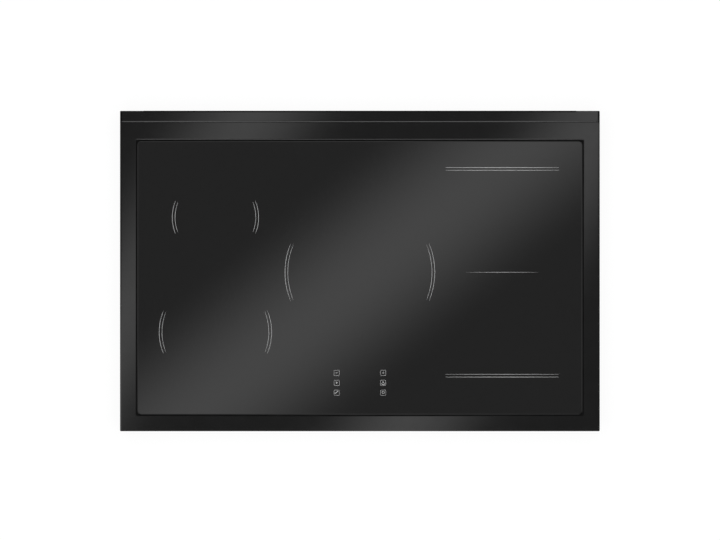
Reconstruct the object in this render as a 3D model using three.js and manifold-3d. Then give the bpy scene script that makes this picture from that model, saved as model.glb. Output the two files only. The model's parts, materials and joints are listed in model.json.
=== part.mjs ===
// Drop-in induction cooktop, 90 x 60 cm, with five coils, two blowers and a rear air outlet.
// Millimetres, X to the right, Y to the rear, Z up, z = 0 under the base pan.
import * as THREE from 'three';
import { mergeVertices } from 'three/addons/utils/BufferGeometryUtils.js';
import Module from 'manifold-3d';

const wasm = await Module();
wasm.setup();

const FIT = 0.3;
const THROUGH = 1;

// Surround: a folded, enamelled steel frame round the glass.
const STEEL = 1.5;
const OUTER = { left: -449, right: 449, front: -300, rear: 299.7 };
const OPENING = { left: -419.5, right: 419.5, front: -271.8, rear: 245.4 };
const BAND_TOP = 64;
const LIP_BOTTOM = 51;
const LIP_WIDTH = 8;
const SHELF_TOP = 59.2;
const SHELF_WIDTH = 12;
const OUTER_EDGE_ROUND = 2.5;
const OUTER_CORNER = 3;
const OPENING_CORNER = 3;

// Rear ledge: a raised hollow channel over the rear band.
const LEDGE_FRONT = 278;
const LEDGE_TOP = 74;
const LEDGE_ROUND = 3;

// Rear outlet grille, let into the back of the ledge and the surround.
const GRILLE_HALF_WIDTH = 405;
const GRILLE_THICKNESS = 2.4;
const GRILLE_REAR = 300;
const GRILLE_BOTTOM = 55;
const GRILLE_TOP = 73.4;
const GRILLE_SLOTS = 40;
const GRILLE_SLOT_WIDTH = 12;
const GRILLE_MARGIN = 2.5;
const OUTLET_WINDOWS = 10;
const OUTLET_WINDOW_WIDTH = 60;
const OUTLET_WINDOW_INSET = 4;

// Glass, its seal and the foam seal on the worktop.
const GLASS = { left: -416.5, right: 416.5, front: -268.8, rear: 243 };
const GLASS_BOTTOM = 60.5;
const GLASS_TOP = 64.5;
const GLASS_CORNER = 6.5;
const GLASS_BEVEL = 0.8;
const SEAL_TOP = 63.6;
const SEAL_BEAD_WIDTH = 9;
const WORKTOP_SEAL_BOTTOM = 48;
const WORKTOP_SEAL_INSET = 2;
const WORKTOP_SEAL_WIDTH = 11;

// Base pan.
const PAN = { left: -425, right: 425, front: -277, rear: 254 };
const PAN_SHEET = 1.2;
const PAN_TOP = 57.4;
const PAN_FLANGE = 9;
const POCKET = 40;
const CABLE_NOTCH = { left: 70, right: 110, front: 226 };
const EXHAUST_LOW = 49;
const EXHAUST_HIGH = 55;

// Coils.
const ROUND_COILS = [
  { name: 'rear_left', x: -269.6, y: 100.3, radius: 74 },
  { name: 'front_left', x: -270.5, y: -114.5, radius: 96 },
  { name: 'centre', x: 0, y: -2.5, radius: 130 },
];
const FLEX_COILS = [
  { name: 'rear_right', x: 266.3, y: 95.5 },
  { name: 'front_right', x: 266.3, y: -100.5 },
];
const FLEX_HALF = { x: 99, y: 92 };
const COIL_SIDES = 28;
const WINDING_INNER = 24;
const FERRITE = { low: 47.8, high: 52.3, width: 10, inset: 6, arms: 8, flexBars: 5, hub: 20, hubBore: 13 };
const FORMER = { low: 52.6, high: 55.1, lip: 57.5, collar: 59, bore: 9, wall: 1.6, rim: 3, flexRim: 2 };
const WINDING = { low: 55.4, high: 59.4, edge: 1 };
const FLEX_CORNER = { former: 24, winding: 23, core: 8 };
const FLEX_WINDING_WIDTH = 70;
const SENSOR = { foot: 7, footHigh: 54, stem: 5, headLow: 57.4, head: 6.5, high: 59.4 };

// Sprung coil trays, their cross rails and leaf springs.
const TRAYS = [
  { name: 'left', left: -374, right: -158, front: -226, rear: 206 },
  { name: 'centre', left: -142, right: 142, front: -145, rear: 140 },
  { name: 'right', left: 158, right: 374, front: -226, rear: 206 },
];
const TRAY = { rim: 43, low: 46, high: 47.5, sheet: 1.5, corner: 8 };
const MICA = { low: 59.7, high: 60.2, inset: 3, sensorHole: 7.5 };
const RAILS = [{ name: 'front', y: -120 }, { name: 'rear', y: 110 }];
const RAIL = { halfLength: 423.4, halfWidth: 12, low: 34, high: 37.7, sheet: 1.3 };
const SPRING = { halfLength: 46, foot: 8, halfWidth: 7, sheet: 0.8, low: 38, high: 45.7, steps: 8 };

// Blowers.
const FANS = [{ name: 'left', x: -300, y: 170 }, { name: 'right', x: 300, y: 170 }];
const HOUSING = { radius: 58, wall: 2, low: 2, high: 33, outlet: 62, inlet: 36 };
const ROTOR = { radius: 48, low: 6.5, high: 26.5, plate: 2 };
const BLADES = { count: 20, inner: 38, sheet: 1.2, lean: 0.6 };
const HUB = { radius: 18, low: 12, bore: 3.4, pin: 3 };
const INTAKE = { radius: 42, slotWidth: 6, pitch: 12, slots: 7 };

// Electronics.
const BOARD = { low: 8, high: 9.6, hole: 2.2, holeInset: 7, standoff: 4 };
const POWER_BOARD = { left: 190, right: 402, front: -215, rear: 92 };
const FILTER_BOARD = { left: -105, right: 105, front: 35, rear: 135 };
const HEATSINK = { x: 300, halfWidth: 41, front: -195, rear: 88, base: 4, high: 32 };
const FINS = { count: 11, thickness: 2, root: 1 };
const CONTROL_BOARD = { left: -88, right: 88, front: -246, rear: -172 };
const CONTROL_BOARD_Z = { low: 56, high: 57.6 };
const CARRIER = { left: -94, right: 94, front: -252, rear: -166, low: 46, wall: 2, leg: 12 };
const CARRIER_RIBS = { count: 4, halfWidth: 1 };

// Mains connection.
const TERMINAL_BOX = { left: 30, right: 130, front: 150, rear: 222, low: 1.5, high: 34, wall: 2 };
const HATCH = { left: 38, right: 122, front: 158, rear: 212 };
const HATCH_GAP = 0.5;
const HATCH_HINGE_GAP = 1.6;
const WIRE_EXIT = { front: 170, rear: 200, low: 20, high: 28 };
const TERMINAL_BLOCK = { left: 42, right: 118, front: 172, rear: 198, low: 15, body: 19, high: 31.6 };
const TERMINAL_POLES = 5;
const TERMINAL_TOWER = { halfX: 4, halfY: 8, low: 17 };
const GLAND = { x: 90, z: 17, bore: 6.5, barrel: 9, inside: 10, outside: 14 };
const GLAND_NUTS = { lock: 11.5, outer: 13, cap: 12 };
const GLAND_HOLE = 9.4;

// Swing clamps, folded in the corner pockets of the pan.
const CLAMP = { x: 415, reach: 32, boss: 7, bore: 3.4, low: 2, high: 14 };
const CLAMP_ARM = { length: 28, halfWidth: 6, low: 11 };
const CLAMP_TIP = { length: 4, high: 17 };
const POST = { radius: 3, high: 30 };

const cooktop = new THREE.Group();
cooktop.name = 'induction_cooktop';

// Geometry helpers.

function solidOf(geometry) {
  const bare = geometry.clone();
  bare.deleteAttribute('normal');
  bare.deleteAttribute('uv');
  const welded = mergeVertices(bare, 1e-4);
  return new wasm.Manifold(new wasm.Mesh({
    numProp: 3,
    vertProperties: new Float32Array(welded.attributes.position.array),
    triVerts: new Uint32Array(welded.index.array),
  }));
}

function joined(solids) {
  return solids.reduce((whole, next) => whole.add(next));
}

function without(solid, cutters) {
  return cutters.reduce((rest, cutter) => rest.subtract(cutter), solid);
}

function grown(box, amount) {
  return {
    left: box.left - amount,
    right: box.right + amount,
    front: box.front - amount,
    rear: box.rear + amount,
  };
}

function mirrored(box) {
  return { left: -box.right, right: -box.left, front: box.front, rear: box.rear };
}

function polygon(points) {
  return new THREE.Shape(points.map(([x, y]) => new THREE.Vector2(x, y)));
}

function roundedRectangle(box, radius) {
  const quarter = Math.PI / 2;
  const shape = new THREE.Shape();
  shape.absarc(box.right - radius, box.front + radius, radius, -quarter, 0);
  shape.absarc(box.right - radius, box.rear - radius, radius, 0, quarter);
  shape.absarc(box.left + radius, box.rear - radius, radius, quarter, 2 * quarter);
  shape.absarc(box.left + radius, box.front + radius, radius, 2 * quarter, 3 * quarter);
  shape.closePath();
  return shape;
}

function slab(shape, low, high, curveSegments = 3) {
  const options = { depth: high - low, bevelEnabled: false, curveSegments };
  return solidOf(new THREE.ExtrudeGeometry(shape, options).translate(0, 0, low));
}

function block(box, low, high) {
  const geometry = new THREE.BoxGeometry(box.right - box.left, box.rear - box.front, high - low);
  geometry.translate((box.left + box.right) / 2, (box.front + box.rear) / 2, (low + high) / 2);
  return solidOf(geometry);
}

function boxAt(x, y, halfX, halfY) {
  return { left: x - halfX, right: x + halfX, front: y - halfY, rear: y + halfY };
}

function blockAt(x, y, halfX, halfY, low, high) {
  return block(boxAt(x, y, halfX, halfY), low, high);
}

// A block that cuts right through whatever lies between two heights.
function blockCut(box, low, high) {
  return block(box, low - THROUGH, high + THROUGH);
}

function disc(x, y, radius, low, high, sides) {
  const geometry = new THREE.CylinderGeometry(radius, radius, high - low, sides);
  geometry.rotateX(Math.PI / 2).translate(x, y, (low + high) / 2);
  return solidOf(geometry);
}

function discCut(x, y, radius, low, high, sides) {
  return disc(x, y, radius, low - THROUGH, high + THROUGH, sides);
}

// A rod lying along Y.
function rod(x, z, radius, front, rear, sides) {
  const geometry = new THREE.CylinderGeometry(radius, radius, rear - front, sides);
  geometry.translate(x, (front + rear) / 2, z);
  return solidOf(geometry);
}

// A body turned about Z from a closed outline of [radius, height] points.
function turned(x, y, outline, sides) {
  const points = [...outline, outline[0]].map(([radius, height]) => new THREE.Vector2(radius, height));
  const geometry = new THREE.LatheGeometry(points, sides);
  return solidOf(geometry.rotateX(Math.PI / 2).translate(x, y, 0));
}

// A straight extrusion along X of an outline of [y, z] points.
function profileAlongX(points, left, right) {
  const options = { depth: right - left, bevelEnabled: false };
  const geometry = new THREE.ExtrudeGeometry(polygon(points), options);
  const yzToXyz = new THREE.Matrix4().set(0, 0, 1, left, 1, 0, 0, 0, 0, 1, 0, 0, 0, 0, 0, 1);
  return solidOf(geometry.applyMatrix4(yzToXyz));
}

// A straight extrusion along Y of an outline of [x, z] points.
function profileAlongY(points, front, rear) {
  const options = { depth: rear - front, bevelEnabled: false };
  const geometry = new THREE.ExtrudeGeometry(polygon(points), options);
  return solidOf(geometry.rotateX(Math.PI / 2).translate(0, rear, 0));
}

function rectangularRing(outerBox, innerBox, low, high) {
  return block(outerBox, low, high).subtract(blockCut(innerBox, low, high));
}

function spread(count, span) {
  return Array.from({ length: count }, (_, index) => ((index + 0.5) / count - 0.5) * span);
}

function addPiece(name, solid, colour, roughness, metalness) {
  const data = solid.getMesh();
  const indexed = new THREE.BufferGeometry();
  indexed.setAttribute('position', new THREE.BufferAttribute(data.vertProperties, 3));
  indexed.setIndex(new THREE.BufferAttribute(data.triVerts, 1));
  const geometry = indexed.toNonIndexed();
  geometry.computeVertexNormals();
  const material = new THREE.MeshStandardMaterial({ color: colour, roughness, metalness });
  const mesh = new THREE.Mesh(geometry, material);
  mesh.name = name;
  cooktop.add(mesh);
}

const addEnamel = (name, solid) => addPiece(name, solid, 0x18181a, 0.45, 0.1);
const addGlass = (name, solid) => addPiece(name, solid, 0x0c0c0e, 0.05, 0);
const addRubber = (name, solid) => addPiece(name, solid, 0x101010, 0.8, 0);
const addGalvanised = (name, solid) => addPiece(name, solid, 0x9aa0a4, 0.45, 0.9);
const addAluminium = (name, solid) => addPiece(name, solid, 0xb9bcc0, 0.4, 0.9);
const addCopper = (name, solid) => addPiece(name, solid, 0xa85f2c, 0.4, 0.8);
const addFerrite = (name, solid) => addPiece(name, solid, 0x2b2b2d, 0.6, 0.1);
const addDarkPlastic = (name, solid) => addPiece(name, solid, 0x1d1d1f, 0.6, 0);
const addPalePlastic = (name, solid) => addPiece(name, solid, 0xd8d4c8, 0.6, 0);
const addMica = (name, solid) => addPiece(name, solid, 0xcfc3a0, 0.5, 0);
const addCircuitBoard = (name, solid) => addPiece(name, solid, 0x1f5a34, 0.5, 0);
const addSpringSteel = (name, solid) => addPiece(name, solid, 0x8d8f92, 0.3, 0.9);

// Outer pieces.

function softTopSlab(box, low, high, edge) {
  const shape = roundedRectangle(grown(box, -edge), Math.max(OUTER_CORNER - edge, 0.5));
  const options = {
    depth: high - low,
    bevelEnabled: true,
    bevelThickness: edge,
    bevelSize: edge,
    bevelSegments: 3,
    curveSegments: 2,
  };
  const geometry = new THREE.ExtrudeGeometry(shape, options).translate(0, 0, low - edge);
  return solidOf(geometry).subtract(block(grown(box, THROUGH), low - 2 * edge, low));
}

function outletWindows(front, rear, low, high) {
  const half = OUTLET_WINDOW_WIDTH / 2;
  return spread(OUTLET_WINDOWS, 2 * GRILLE_HALF_WIDTH)
    .map((x) => block({ left: x - half, right: x + half, front, rear }, low, high));
}

// The recess in the back that takes the grille.
function grilleRecess(low, high) {
  const half = GRILLE_HALF_WIDTH + FIT;
  const front = GRILLE_REAR - GRILLE_THICKNESS - FIT;
  return blockCut({ left: -half, right: half, front, rear: OUTER.rear + THROUGH }, low, high);
}

function surroundShell() {
  const outside = softTopSlab(OUTER, LIP_BOTTOM, BAND_TOP, OUTER_EDGE_ROUND);
  const innerLow = LIP_BOTTOM + STEEL;
  const innerHigh = BAND_TOP - STEEL;
  const hollow = softTopSlab(grown(OUTER, -STEEL), innerLow, innerHigh, OUTER_EDGE_ROUND - STEEL);
  const underside = blockCut(grown(OUTER, -LIP_WIDTH), LIP_BOTTOM, innerLow);
  return without(outside, [hollow, underside]);
}

function makeSurround() {
  const opening = slab(roundedRectangle(OPENING, OPENING_CORNER), SHELF_TOP, BAND_TOP + THROUGH);
  const wellOuter = block(grown(OPENING, STEEL), SHELF_TOP - STEEL, BAND_TOP - STEEL / 2);
  const wellHole = blockCut(grown(OPENING, -SHELF_WIDTH), SHELF_TOP - STEEL, SHELF_TOP);
  const half = GRILLE_HALF_WIDTH + FIT + STEEL;
  const wallFront = GRILLE_REAR - GRILLE_THICKNESS - FIT - STEEL;
  const backWallBox = { left: -half, right: half, front: wallFront, rear: OUTER.rear };
  const backWall = block(backWallBox, LIP_BOTTOM, BAND_TOP - STEEL / 2);
  const rearWindows = outletWindows(
    wallFront - STEEL,
    wallFront + STEEL + THROUGH,
    LIP_BOTTOM + OUTLET_WINDOW_INSET,
    BAND_TOP - OUTLET_WINDOW_INSET,
  );
  const topWindows = outletWindows(
    LEDGE_FRONT + OUTLET_WINDOW_INSET,
    wallFront - STEEL,
    BAND_TOP - STEEL - THROUGH,
    BAND_TOP + THROUGH,
  );
  const body = joined([surroundShell(), wellOuter, backWall]);
  const recess = grilleRecess(LIP_BOTTOM, BAND_TOP);
  addEnamel('surround_frame', without(body, [opening, wellHole, recess, ...rearWindows, ...topWindows]));
}

function ledgeOutline(inset) {
  const front = LEDGE_FRONT + inset;
  const rear = OUTER.rear - inset;
  const top = LEDGE_TOP - inset;
  const radius = LEDGE_ROUND - inset;
  const low = BAND_TOP + FIT - (inset > 0 ? THROUGH : 0);
  const points = [[rear, low], [rear, top]];
  const steps = 4;
  for (let step = 0; step <= steps; step += 1) {
    const angle = (Math.PI / 2) * (step / steps);
    points.push([front + radius - radius * Math.sin(angle), top - radius + radius * Math.cos(angle)]);
  }
  points.push([front, low]);
  return points;
}

function makeLedge() {
  const outside = profileAlongX(ledgeOutline(0), OUTER.left, OUTER.right);
  const hollow = profileAlongX(ledgeOutline(STEEL), OUTER.left + STEEL, OUTER.right - STEEL);
  addEnamel('rear_ledge', without(outside, [hollow, grilleRecess(BAND_TOP, LEDGE_TOP)]));
}

function makeGrille() {
  const front = GRILLE_REAR - GRILLE_THICKNESS;
  const box = { left: -GRILLE_HALF_WIDTH, right: GRILLE_HALF_WIDTH, front, rear: GRILLE_REAR };
  const slots = spread(GRILLE_SLOTS, 2 * (GRILLE_HALF_WIDTH - GRILLE_MARGIN)).map((x) => {
    const slot = boxAt(x, GRILLE_REAR, GRILLE_SLOT_WIDTH / 2, 2 * GRILLE_THICKNESS);
    return block(slot, GRILLE_BOTTOM + GRILLE_MARGIN, GRILLE_TOP - GRILLE_MARGIN);
  });
  addEnamel('rear_vent_grille', without(block(box, GRILLE_BOTTOM, GRILLE_TOP), slots));
}

function makeGlass() {
  const options = {
    depth: GLASS_TOP - GLASS_BOTTOM - 2 * GLASS_BEVEL,
    bevelEnabled: true,
    bevelThickness: GLASS_BEVEL,
    bevelSize: GLASS_BEVEL,
    bevelSegments: 1,
    curveSegments: 4,
  };
  const shape = roundedRectangle(grown(GLASS, -GLASS_BEVEL), GLASS_CORNER - GLASS_BEVEL);
  const geometry = new THREE.ExtrudeGeometry(shape, options).translate(0, 0, GLASS_BOTTOM + GLASS_BEVEL);
  addGlass('glass_plate', solidOf(geometry));
}

function makeSeals() {
  const low = SHELF_TOP + FIT;
  const outer = slab(roundedRectangle(grown(OPENING, -FIT), OPENING_CORNER), low, SEAL_TOP);
  const pocketShape = roundedRectangle(grown(GLASS, FIT), GLASS_CORNER);
  const glassPocket = slab(pocketShape, GLASS_BOTTOM - FIT, SEAL_TOP + THROUGH);
  const middle = blockCut(grown(OPENING, -FIT - SEAL_BEAD_WIDTH), low, SEAL_TOP);
  addRubber('glass_seal', without(outer, [glassPocket, middle]));
  const ringOuter = grown(OUTER, -WORKTOP_SEAL_INSET);
  const ringInner = grown(ringOuter, -WORKTOP_SEAL_WIDTH);
  addRubber('worktop_seal', rectangularRing(ringOuter, ringInner, WORKTOP_SEAL_BOTTOM, LIP_BOTTOM - FIT));
}

// Coils.

function makeFerriteStar(coil) {
  const hub = disc(coil.x, coil.y, FERRITE.hub, FERRITE.low, FERRITE.high, 16)
    .subtract(discCut(coil.x, coil.y, FERRITE.hubBore, FERRITE.low, FERRITE.high, 16));
  const start = (FERRITE.hub + FERRITE.hubBore) / 2;
  const length = coil.radius - FERRITE.inset - start;
  const arms = Array.from({ length: FERRITE.arms }, (_, arm) => {
    const geometry = new THREE.BoxGeometry(length, FERRITE.width, FERRITE.high - FERRITE.low);
    geometry.translate(start + length / 2, 0, (FERRITE.low + FERRITE.high) / 2);
    geometry.rotateZ((arm + 0.5) * 2 * Math.PI / FERRITE.arms).translate(coil.x, coil.y, 0);
    return solidOf(geometry);
  });
  addFerrite(`ferrite_${coil.name}`, joined([hub, ...arms]));
}

function makeRoundCoil(coil) {
  makeFerriteStar(coil);
  const rim = coil.radius + FORMER.rim;
  const inRim = rim - FORMER.wall;
  const collar = FORMER.bore + FORMER.wall;
  const former = [
    [FORMER.bore, FORMER.low],
    [rim, FORMER.low],
    [rim, FORMER.lip],
    [inRim, FORMER.lip],
    [inRim, FORMER.high],
    [collar, FORMER.high],
    [collar, FORMER.collar],
    [FORMER.bore, FORMER.collar],
  ];
  addPalePlastic(`coil_former_${coil.name}`, turned(coil.x, coil.y, former, COIL_SIDES));
  const winding = [
    [WINDING_INNER, WINDING.low],
    [coil.radius, WINDING.low],
    [coil.radius, WINDING.high - WINDING.edge],
    [coil.radius - WINDING.edge, WINDING.high],
    [WINDING_INNER + WINDING.edge, WINDING.high],
    [WINDING_INNER, WINDING.high - WINDING.edge],
  ];
  addCopper(`coil_winding_${coil.name}`, turned(coil.x, coil.y, winding, COIL_SIDES));
}

function flexShape(coil, margin, corner) {
  const box = boxAt(coil.x, coil.y, FLEX_HALF.x + margin, FLEX_HALF.y + margin);
  return roundedRectangle(box, corner);
}

function makeFlexFerrite(coil) {
  const half = FERRITE.width / 2;
  const spine = blockAt(coil.x, coil.y, FLEX_HALF.x - FERRITE.inset, half, FERRITE.low, FERRITE.high);
  const bars = spread(FERRITE.flexBars, 2 * (FLEX_HALF.x - half)).map((x) => (
    blockAt(coil.x + x, coil.y, half, FLEX_HALF.y - FERRITE.inset, FERRITE.low, FERRITE.high)
  ));
  addFerrite(`ferrite_${coil.name}`, joined([spine, ...bars]));
}

function makeFlexCoil(coil) {
  makeFlexFerrite(coil);
  const rim = FORMER.flexRim;
  const plate = slab(flexShape(coil, rim, FLEX_CORNER.former), FORMER.low, FORMER.lip, 5);
  const innerShape = flexShape(coil, rim - FORMER.wall, FLEX_CORNER.former - FORMER.wall);
  const dish = slab(innerShape, FORMER.high, FORMER.lip + THROUGH, 5);
  const collar = disc(coil.x, coil.y, FORMER.bore + FORMER.wall, FORMER.low, FORMER.collar, 16);
  const bore = discCut(coil.x, coil.y, FORMER.bore, FORMER.low, FORMER.collar, 16);
  addPalePlastic(`coil_former_${coil.name}`, plate.subtract(dish).add(collar).subtract(bore));
  const outer = slab(flexShape(coil, 0, FLEX_CORNER.winding), WINDING.low, WINDING.high, 5);
  const coreShape = flexShape(coil, -FLEX_WINDING_WIDTH, FLEX_CORNER.core);
  const core = slab(coreShape, WINDING.low - THROUGH, WINDING.high + THROUGH);
  addCopper(`coil_winding_${coil.name}`, outer.subtract(core));
}

function makeSensor(coil) {
  const outline = [
    [0, FORMER.low],
    [SENSOR.foot, FORMER.low],
    [SENSOR.foot, SENSOR.footHigh],
    [SENSOR.stem, SENSOR.footHigh],
    [SENSOR.stem, SENSOR.headLow],
    [SENSOR.head, SENSOR.headLow],
    [SENSOR.head, SENSOR.high],
    [0, SENSOR.high],
  ];
  const points = outline.map(([radius, height]) => new THREE.Vector2(radius, height));
  const geometry = new THREE.LatheGeometry(points, 12).rotateX(Math.PI / 2).translate(coil.x, coil.y, 0);
  addSpringSteel(`temperature_sensor_${coil.name}`, solidOf(geometry));
}

// Trays, rails and springs.

function makeTray(tray, coils) {
  const outside = slab(roundedRectangle(tray, TRAY.corner), TRAY.rim, TRAY.high);
  const innerShape = roundedRectangle(grown(tray, -TRAY.sheet), TRAY.corner - TRAY.sheet);
  const inside = slab(innerShape, TRAY.rim - THROUGH, TRAY.low);
  const leads = coils.map(({ x, y }) => discCut(x, y, FERRITE.hubBore, TRAY.low, TRAY.high, 12));
  addAluminium(`coil_tray_${tray.name}`, without(outside, [inside, ...leads]));
  const sheet = block(grown(tray, -MICA.inset), MICA.low, MICA.high);
  const holes = coils.map(({ x, y }) => discCut(x, y, MICA.sensorHole, MICA.low, MICA.high, 12));
  addMica(`mica_sheet_${tray.name}`, without(sheet, holes));
}

function springOutline(centre) {
  const rise = SPRING.high - SPRING.low - SPRING.sheet;
  const under = [[centre - SPRING.halfLength, SPRING.low]];
  for (let step = 0; step <= SPRING.steps; step += 1) {
    const part = step / SPRING.steps;
    const x = (2 * part - 1) * (SPRING.halfLength - SPRING.foot);
    under.push([centre + x, SPRING.low + rise * (1 - Math.cos(2 * Math.PI * part)) / 2]);
  }
  under.push([centre + SPRING.halfLength, SPRING.low]);
  const over = under.map(([x, z]) => [x, z + SPRING.sheet]).reverse();
  return [...under, ...over];
}

function makeRailsAndSprings() {
  RAILS.forEach((rail) => {
    const low = rail.y - RAIL.halfWidth;
    const high = rail.y + RAIL.halfWidth;
    const outline = [
      [low, RAIL.low],
      [low + RAIL.sheet, RAIL.low],
      [low + RAIL.sheet, RAIL.high - RAIL.sheet],
      [high - RAIL.sheet, RAIL.high - RAIL.sheet],
      [high - RAIL.sheet, RAIL.low],
      [high, RAIL.low],
      [high, RAIL.high],
      [low, RAIL.high],
    ];
    addGalvanised(`cross_rail_${rail.name}`, profileAlongX(outline, -RAIL.halfLength, RAIL.halfLength));
    TRAYS.forEach((tray) => {
      const outlinePoints = springOutline((tray.left + tray.right) / 2);
      const spring = profileAlongY(outlinePoints, rail.y - SPRING.halfWidth, rail.y + SPRING.halfWidth);
      addSpringSteel(`tray_spring_${tray.name}_${rail.name}`, spring);
    });
  });
}

// Blowers.

function housingShape(fan, radius, front) {
  const shape = new THREE.Shape();
  shape.moveTo(fan.x - radius, fan.y - front);
  shape.lineTo(fan.x + radius, fan.y - front);
  shape.absarc(fan.x, fan.y, radius, 0, Math.PI);
  shape.closePath();
  return shape;
}

function makeHousing(fan) {
  const outside = slab(housingShape(fan, HOUSING.radius, HOUSING.outlet), HOUSING.low, HOUSING.high, 12);
  const insideShape = housingShape(fan, HOUSING.radius - HOUSING.wall, HOUSING.outlet + THROUGH);
  const inside = slab(insideShape, HOUSING.low + HOUSING.wall, HOUSING.high - HOUSING.wall, 12);
  const inlet = discCut(fan.x, fan.y, HOUSING.inlet, HOUSING.low, HOUSING.low + HOUSING.wall, 20);
  const pin = disc(fan.x, fan.y, HUB.pin, HUB.low + 2, HOUSING.high - 1, 10);
  addDarkPlastic(`fan_housing_${fan.name}`, outside.subtract(inside).subtract(inlet).add(pin));
}

function makeRotor(fan) {
  const plateLow = ROTOR.high - ROTOR.plate;
  const ringHigh = ROTOR.low + ROTOR.plate;
  const plate = disc(fan.x, fan.y, ROTOR.radius, plateLow, ROTOR.high, 20);
  const hub = disc(fan.x, fan.y, HUB.radius, HUB.low, ROTOR.high - ROTOR.plate / 2, 14);
  const ring = disc(fan.x, fan.y, ROTOR.radius, ROTOR.low, ringHigh, 20)
    .subtract(discCut(fan.x, fan.y, BLADES.inner, ROTOR.low, ringHigh, 20));
  const blades = Array.from({ length: BLADES.count }, (_, index) => {
    const chord = ROTOR.radius - BLADES.inner - 2;
    const middle = (BLADES.inner + ROTOR.radius) / 2;
    const geometry = new THREE.BoxGeometry(chord, BLADES.sheet, plateLow - ROTOR.low);
    geometry.rotateZ(BLADES.lean).translate(middle, 0, (ROTOR.low + ROTOR.high) / 2);
    geometry.rotateZ(index * 2 * Math.PI / BLADES.count).translate(fan.x, fan.y, 0);
    return solidOf(geometry);
  });
  const bore = discCut(fan.x, fan.y, HUB.bore, HUB.low, ROTOR.high, 10);
  addDarkPlastic(`fan_rotor_${fan.name}`, joined([plate, hub, ring, ...blades]).subtract(bore));
}

// Electronics.

function screwSpots(box) {
  const { left, right, front, rear } = grown(box, -BOARD.holeInset);
  return [[left, front], [right, front], [right, rear], [left, rear]];
}

function makeBoard(name, box, low, high) {
  const holes = screwSpots(box).map(([x, y]) => discCut(x, y, BOARD.hole, low, high, 8));
  addCircuitBoard(name, without(block(box, low, high), holes));
}

function makeHeatsink(name, x) {
  const low = BOARD.high + FIT;
  const { front, rear } = HEATSINK;
  const left = x - HEATSINK.halfWidth;
  const base = block({ left, right: x + HEATSINK.halfWidth, front, rear }, low, low + HEATSINK.base);
  const pitch = (2 * HEATSINK.halfWidth - FINS.thickness) / (FINS.count - 1);
  const fins = Array.from({ length: FINS.count }, (_, index) => {
    const finLeft = left + index * pitch;
    const box = { left: finLeft, right: finLeft + FINS.thickness, front, rear };
    return block(box, low + FINS.root, HEATSINK.high);
  });
  addAluminium(name, joined([base, ...fins]));
}

function makeControls() {
  makeBoard('control_board', CONTROL_BOARD, CONTROL_BOARD_Z.low, CONTROL_BOARD_Z.high);
  const outside = block(CARRIER, CARRIER.low, CONTROL_BOARD_Z.high);
  const floorHigh = CARRIER.low + CARRIER.wall;
  const inside = block(grown(CARRIER, -CARRIER.wall), floorHigh, CONTROL_BOARD_Z.high + THROUGH);
  const ribLow = CARRIER.low + CARRIER.wall / 2;
  const halfLength = (CARRIER.rear - CARRIER.front - CARRIER.wall) / 2;
  const middle = (CARRIER.front + CARRIER.rear) / 2;
  const ribs = spread(CARRIER_RIBS.count, CARRIER.right - CARRIER.left)
    .map((x) => blockAt(x, middle, CARRIER_RIBS.halfWidth, halfLength, ribLow, CONTROL_BOARD_Z.low - FIT));
  const half = CARRIER.leg / 2;
  const legX = CARRIER.right - half;
  const legs = [-legX, legX]
    .map((x) => blockAt(x, CARRIER.front + half, half, half, PAN_SHEET + FIT, ribLow));
  addDarkPlastic('control_carrier', joined([outside.subtract(inside), ...ribs, ...legs]));
}

// Mains connection.

function makeTerminalBox() {
  const { left, low, high, wall, rear } = TERMINAL_BOX;
  const inside = block(grown(TERMINAL_BOX, -wall), low - THROUGH, high - wall);
  const entry = rod(GLAND.x, GLAND.z, GLAND_HOLE, rear - 2 * wall, rear + THROUGH, 16);
  const { front: exitFront, rear: exitRear } = WIRE_EXIT;
  const exitBox = { left: left - THROUGH, right: left + 2 * wall, front: exitFront, rear: exitRear };
  const wireExit = block(exitBox, WIRE_EXIT.low, WIRE_EXIT.high);
  addDarkPlastic('terminal_box', without(block(TERMINAL_BOX, low, high), [inside, entry, wireExit]));
}

function makeTerminalBlock() {
  const { left, right, front, rear, low, high } = TERMINAL_BLOCK;
  const body = block(TERMINAL_BLOCK, TERMINAL_BLOCK.body, high);
  const pitch = (right - left - 2) / TERMINAL_POLES;
  const dividers = Array.from({ length: TERMINAL_POLES + 1 }, (_, index) => {
    const wallLeft = left + index * pitch;
    return block({ left: wallLeft, right: wallLeft + 2, front, rear }, low, high - 1);
  });
  const towers = spread(TERMINAL_POLES, right - left).map((offset) => {
    const x = (left + right) / 2 + offset;
    const y = (front + rear) / 2;
    return blockAt(x, y, TERMINAL_TOWER.halfX, TERMINAL_TOWER.halfY, TERMINAL_TOWER.low, high - 1);
  });
  addPalePlastic('terminal_block', joined([body, ...dividers, ...towers]));
}

function makeTerminalCover() {
  const box = {
    left: HATCH.left + HATCH_GAP,
    right: HATCH.right - HATCH_GAP,
    front: HATCH.front + HATCH_HINGE_GAP,
    rear: HATCH.rear - HATCH_GAP,
  };
  addGalvanised('terminal_cover', block(box, 0, PAN_SHEET));
}

function makeGland() {
  const wall = CABLE_NOTCH.front;
  const inner = wall - PAN_SHEET;
  const { x, z, inside, outside } = GLAND;
  const barrel = rod(x, z, GLAND.barrel, wall - inside, wall + outside, 16);
  const lockNut = rod(x, z, GLAND_NUTS.lock, inner - 8, inner - 5.5, 6);
  const outerNut = rod(x, z, GLAND_NUTS.outer, wall + FIT, wall + 5, 6);
  const capNut = rod(x, z, GLAND_NUTS.cap, wall + 6.5, wall + outside - 1, 6);
  const bore = rod(x, z, GLAND.bore, wall - inside - THROUGH, wall + outside + THROUGH, 16);
  addDarkPlastic('cable_gland', joined([barrel, lockNut, outerNut, capNut]).subtract(bore));
}

// Base pan.

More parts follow.
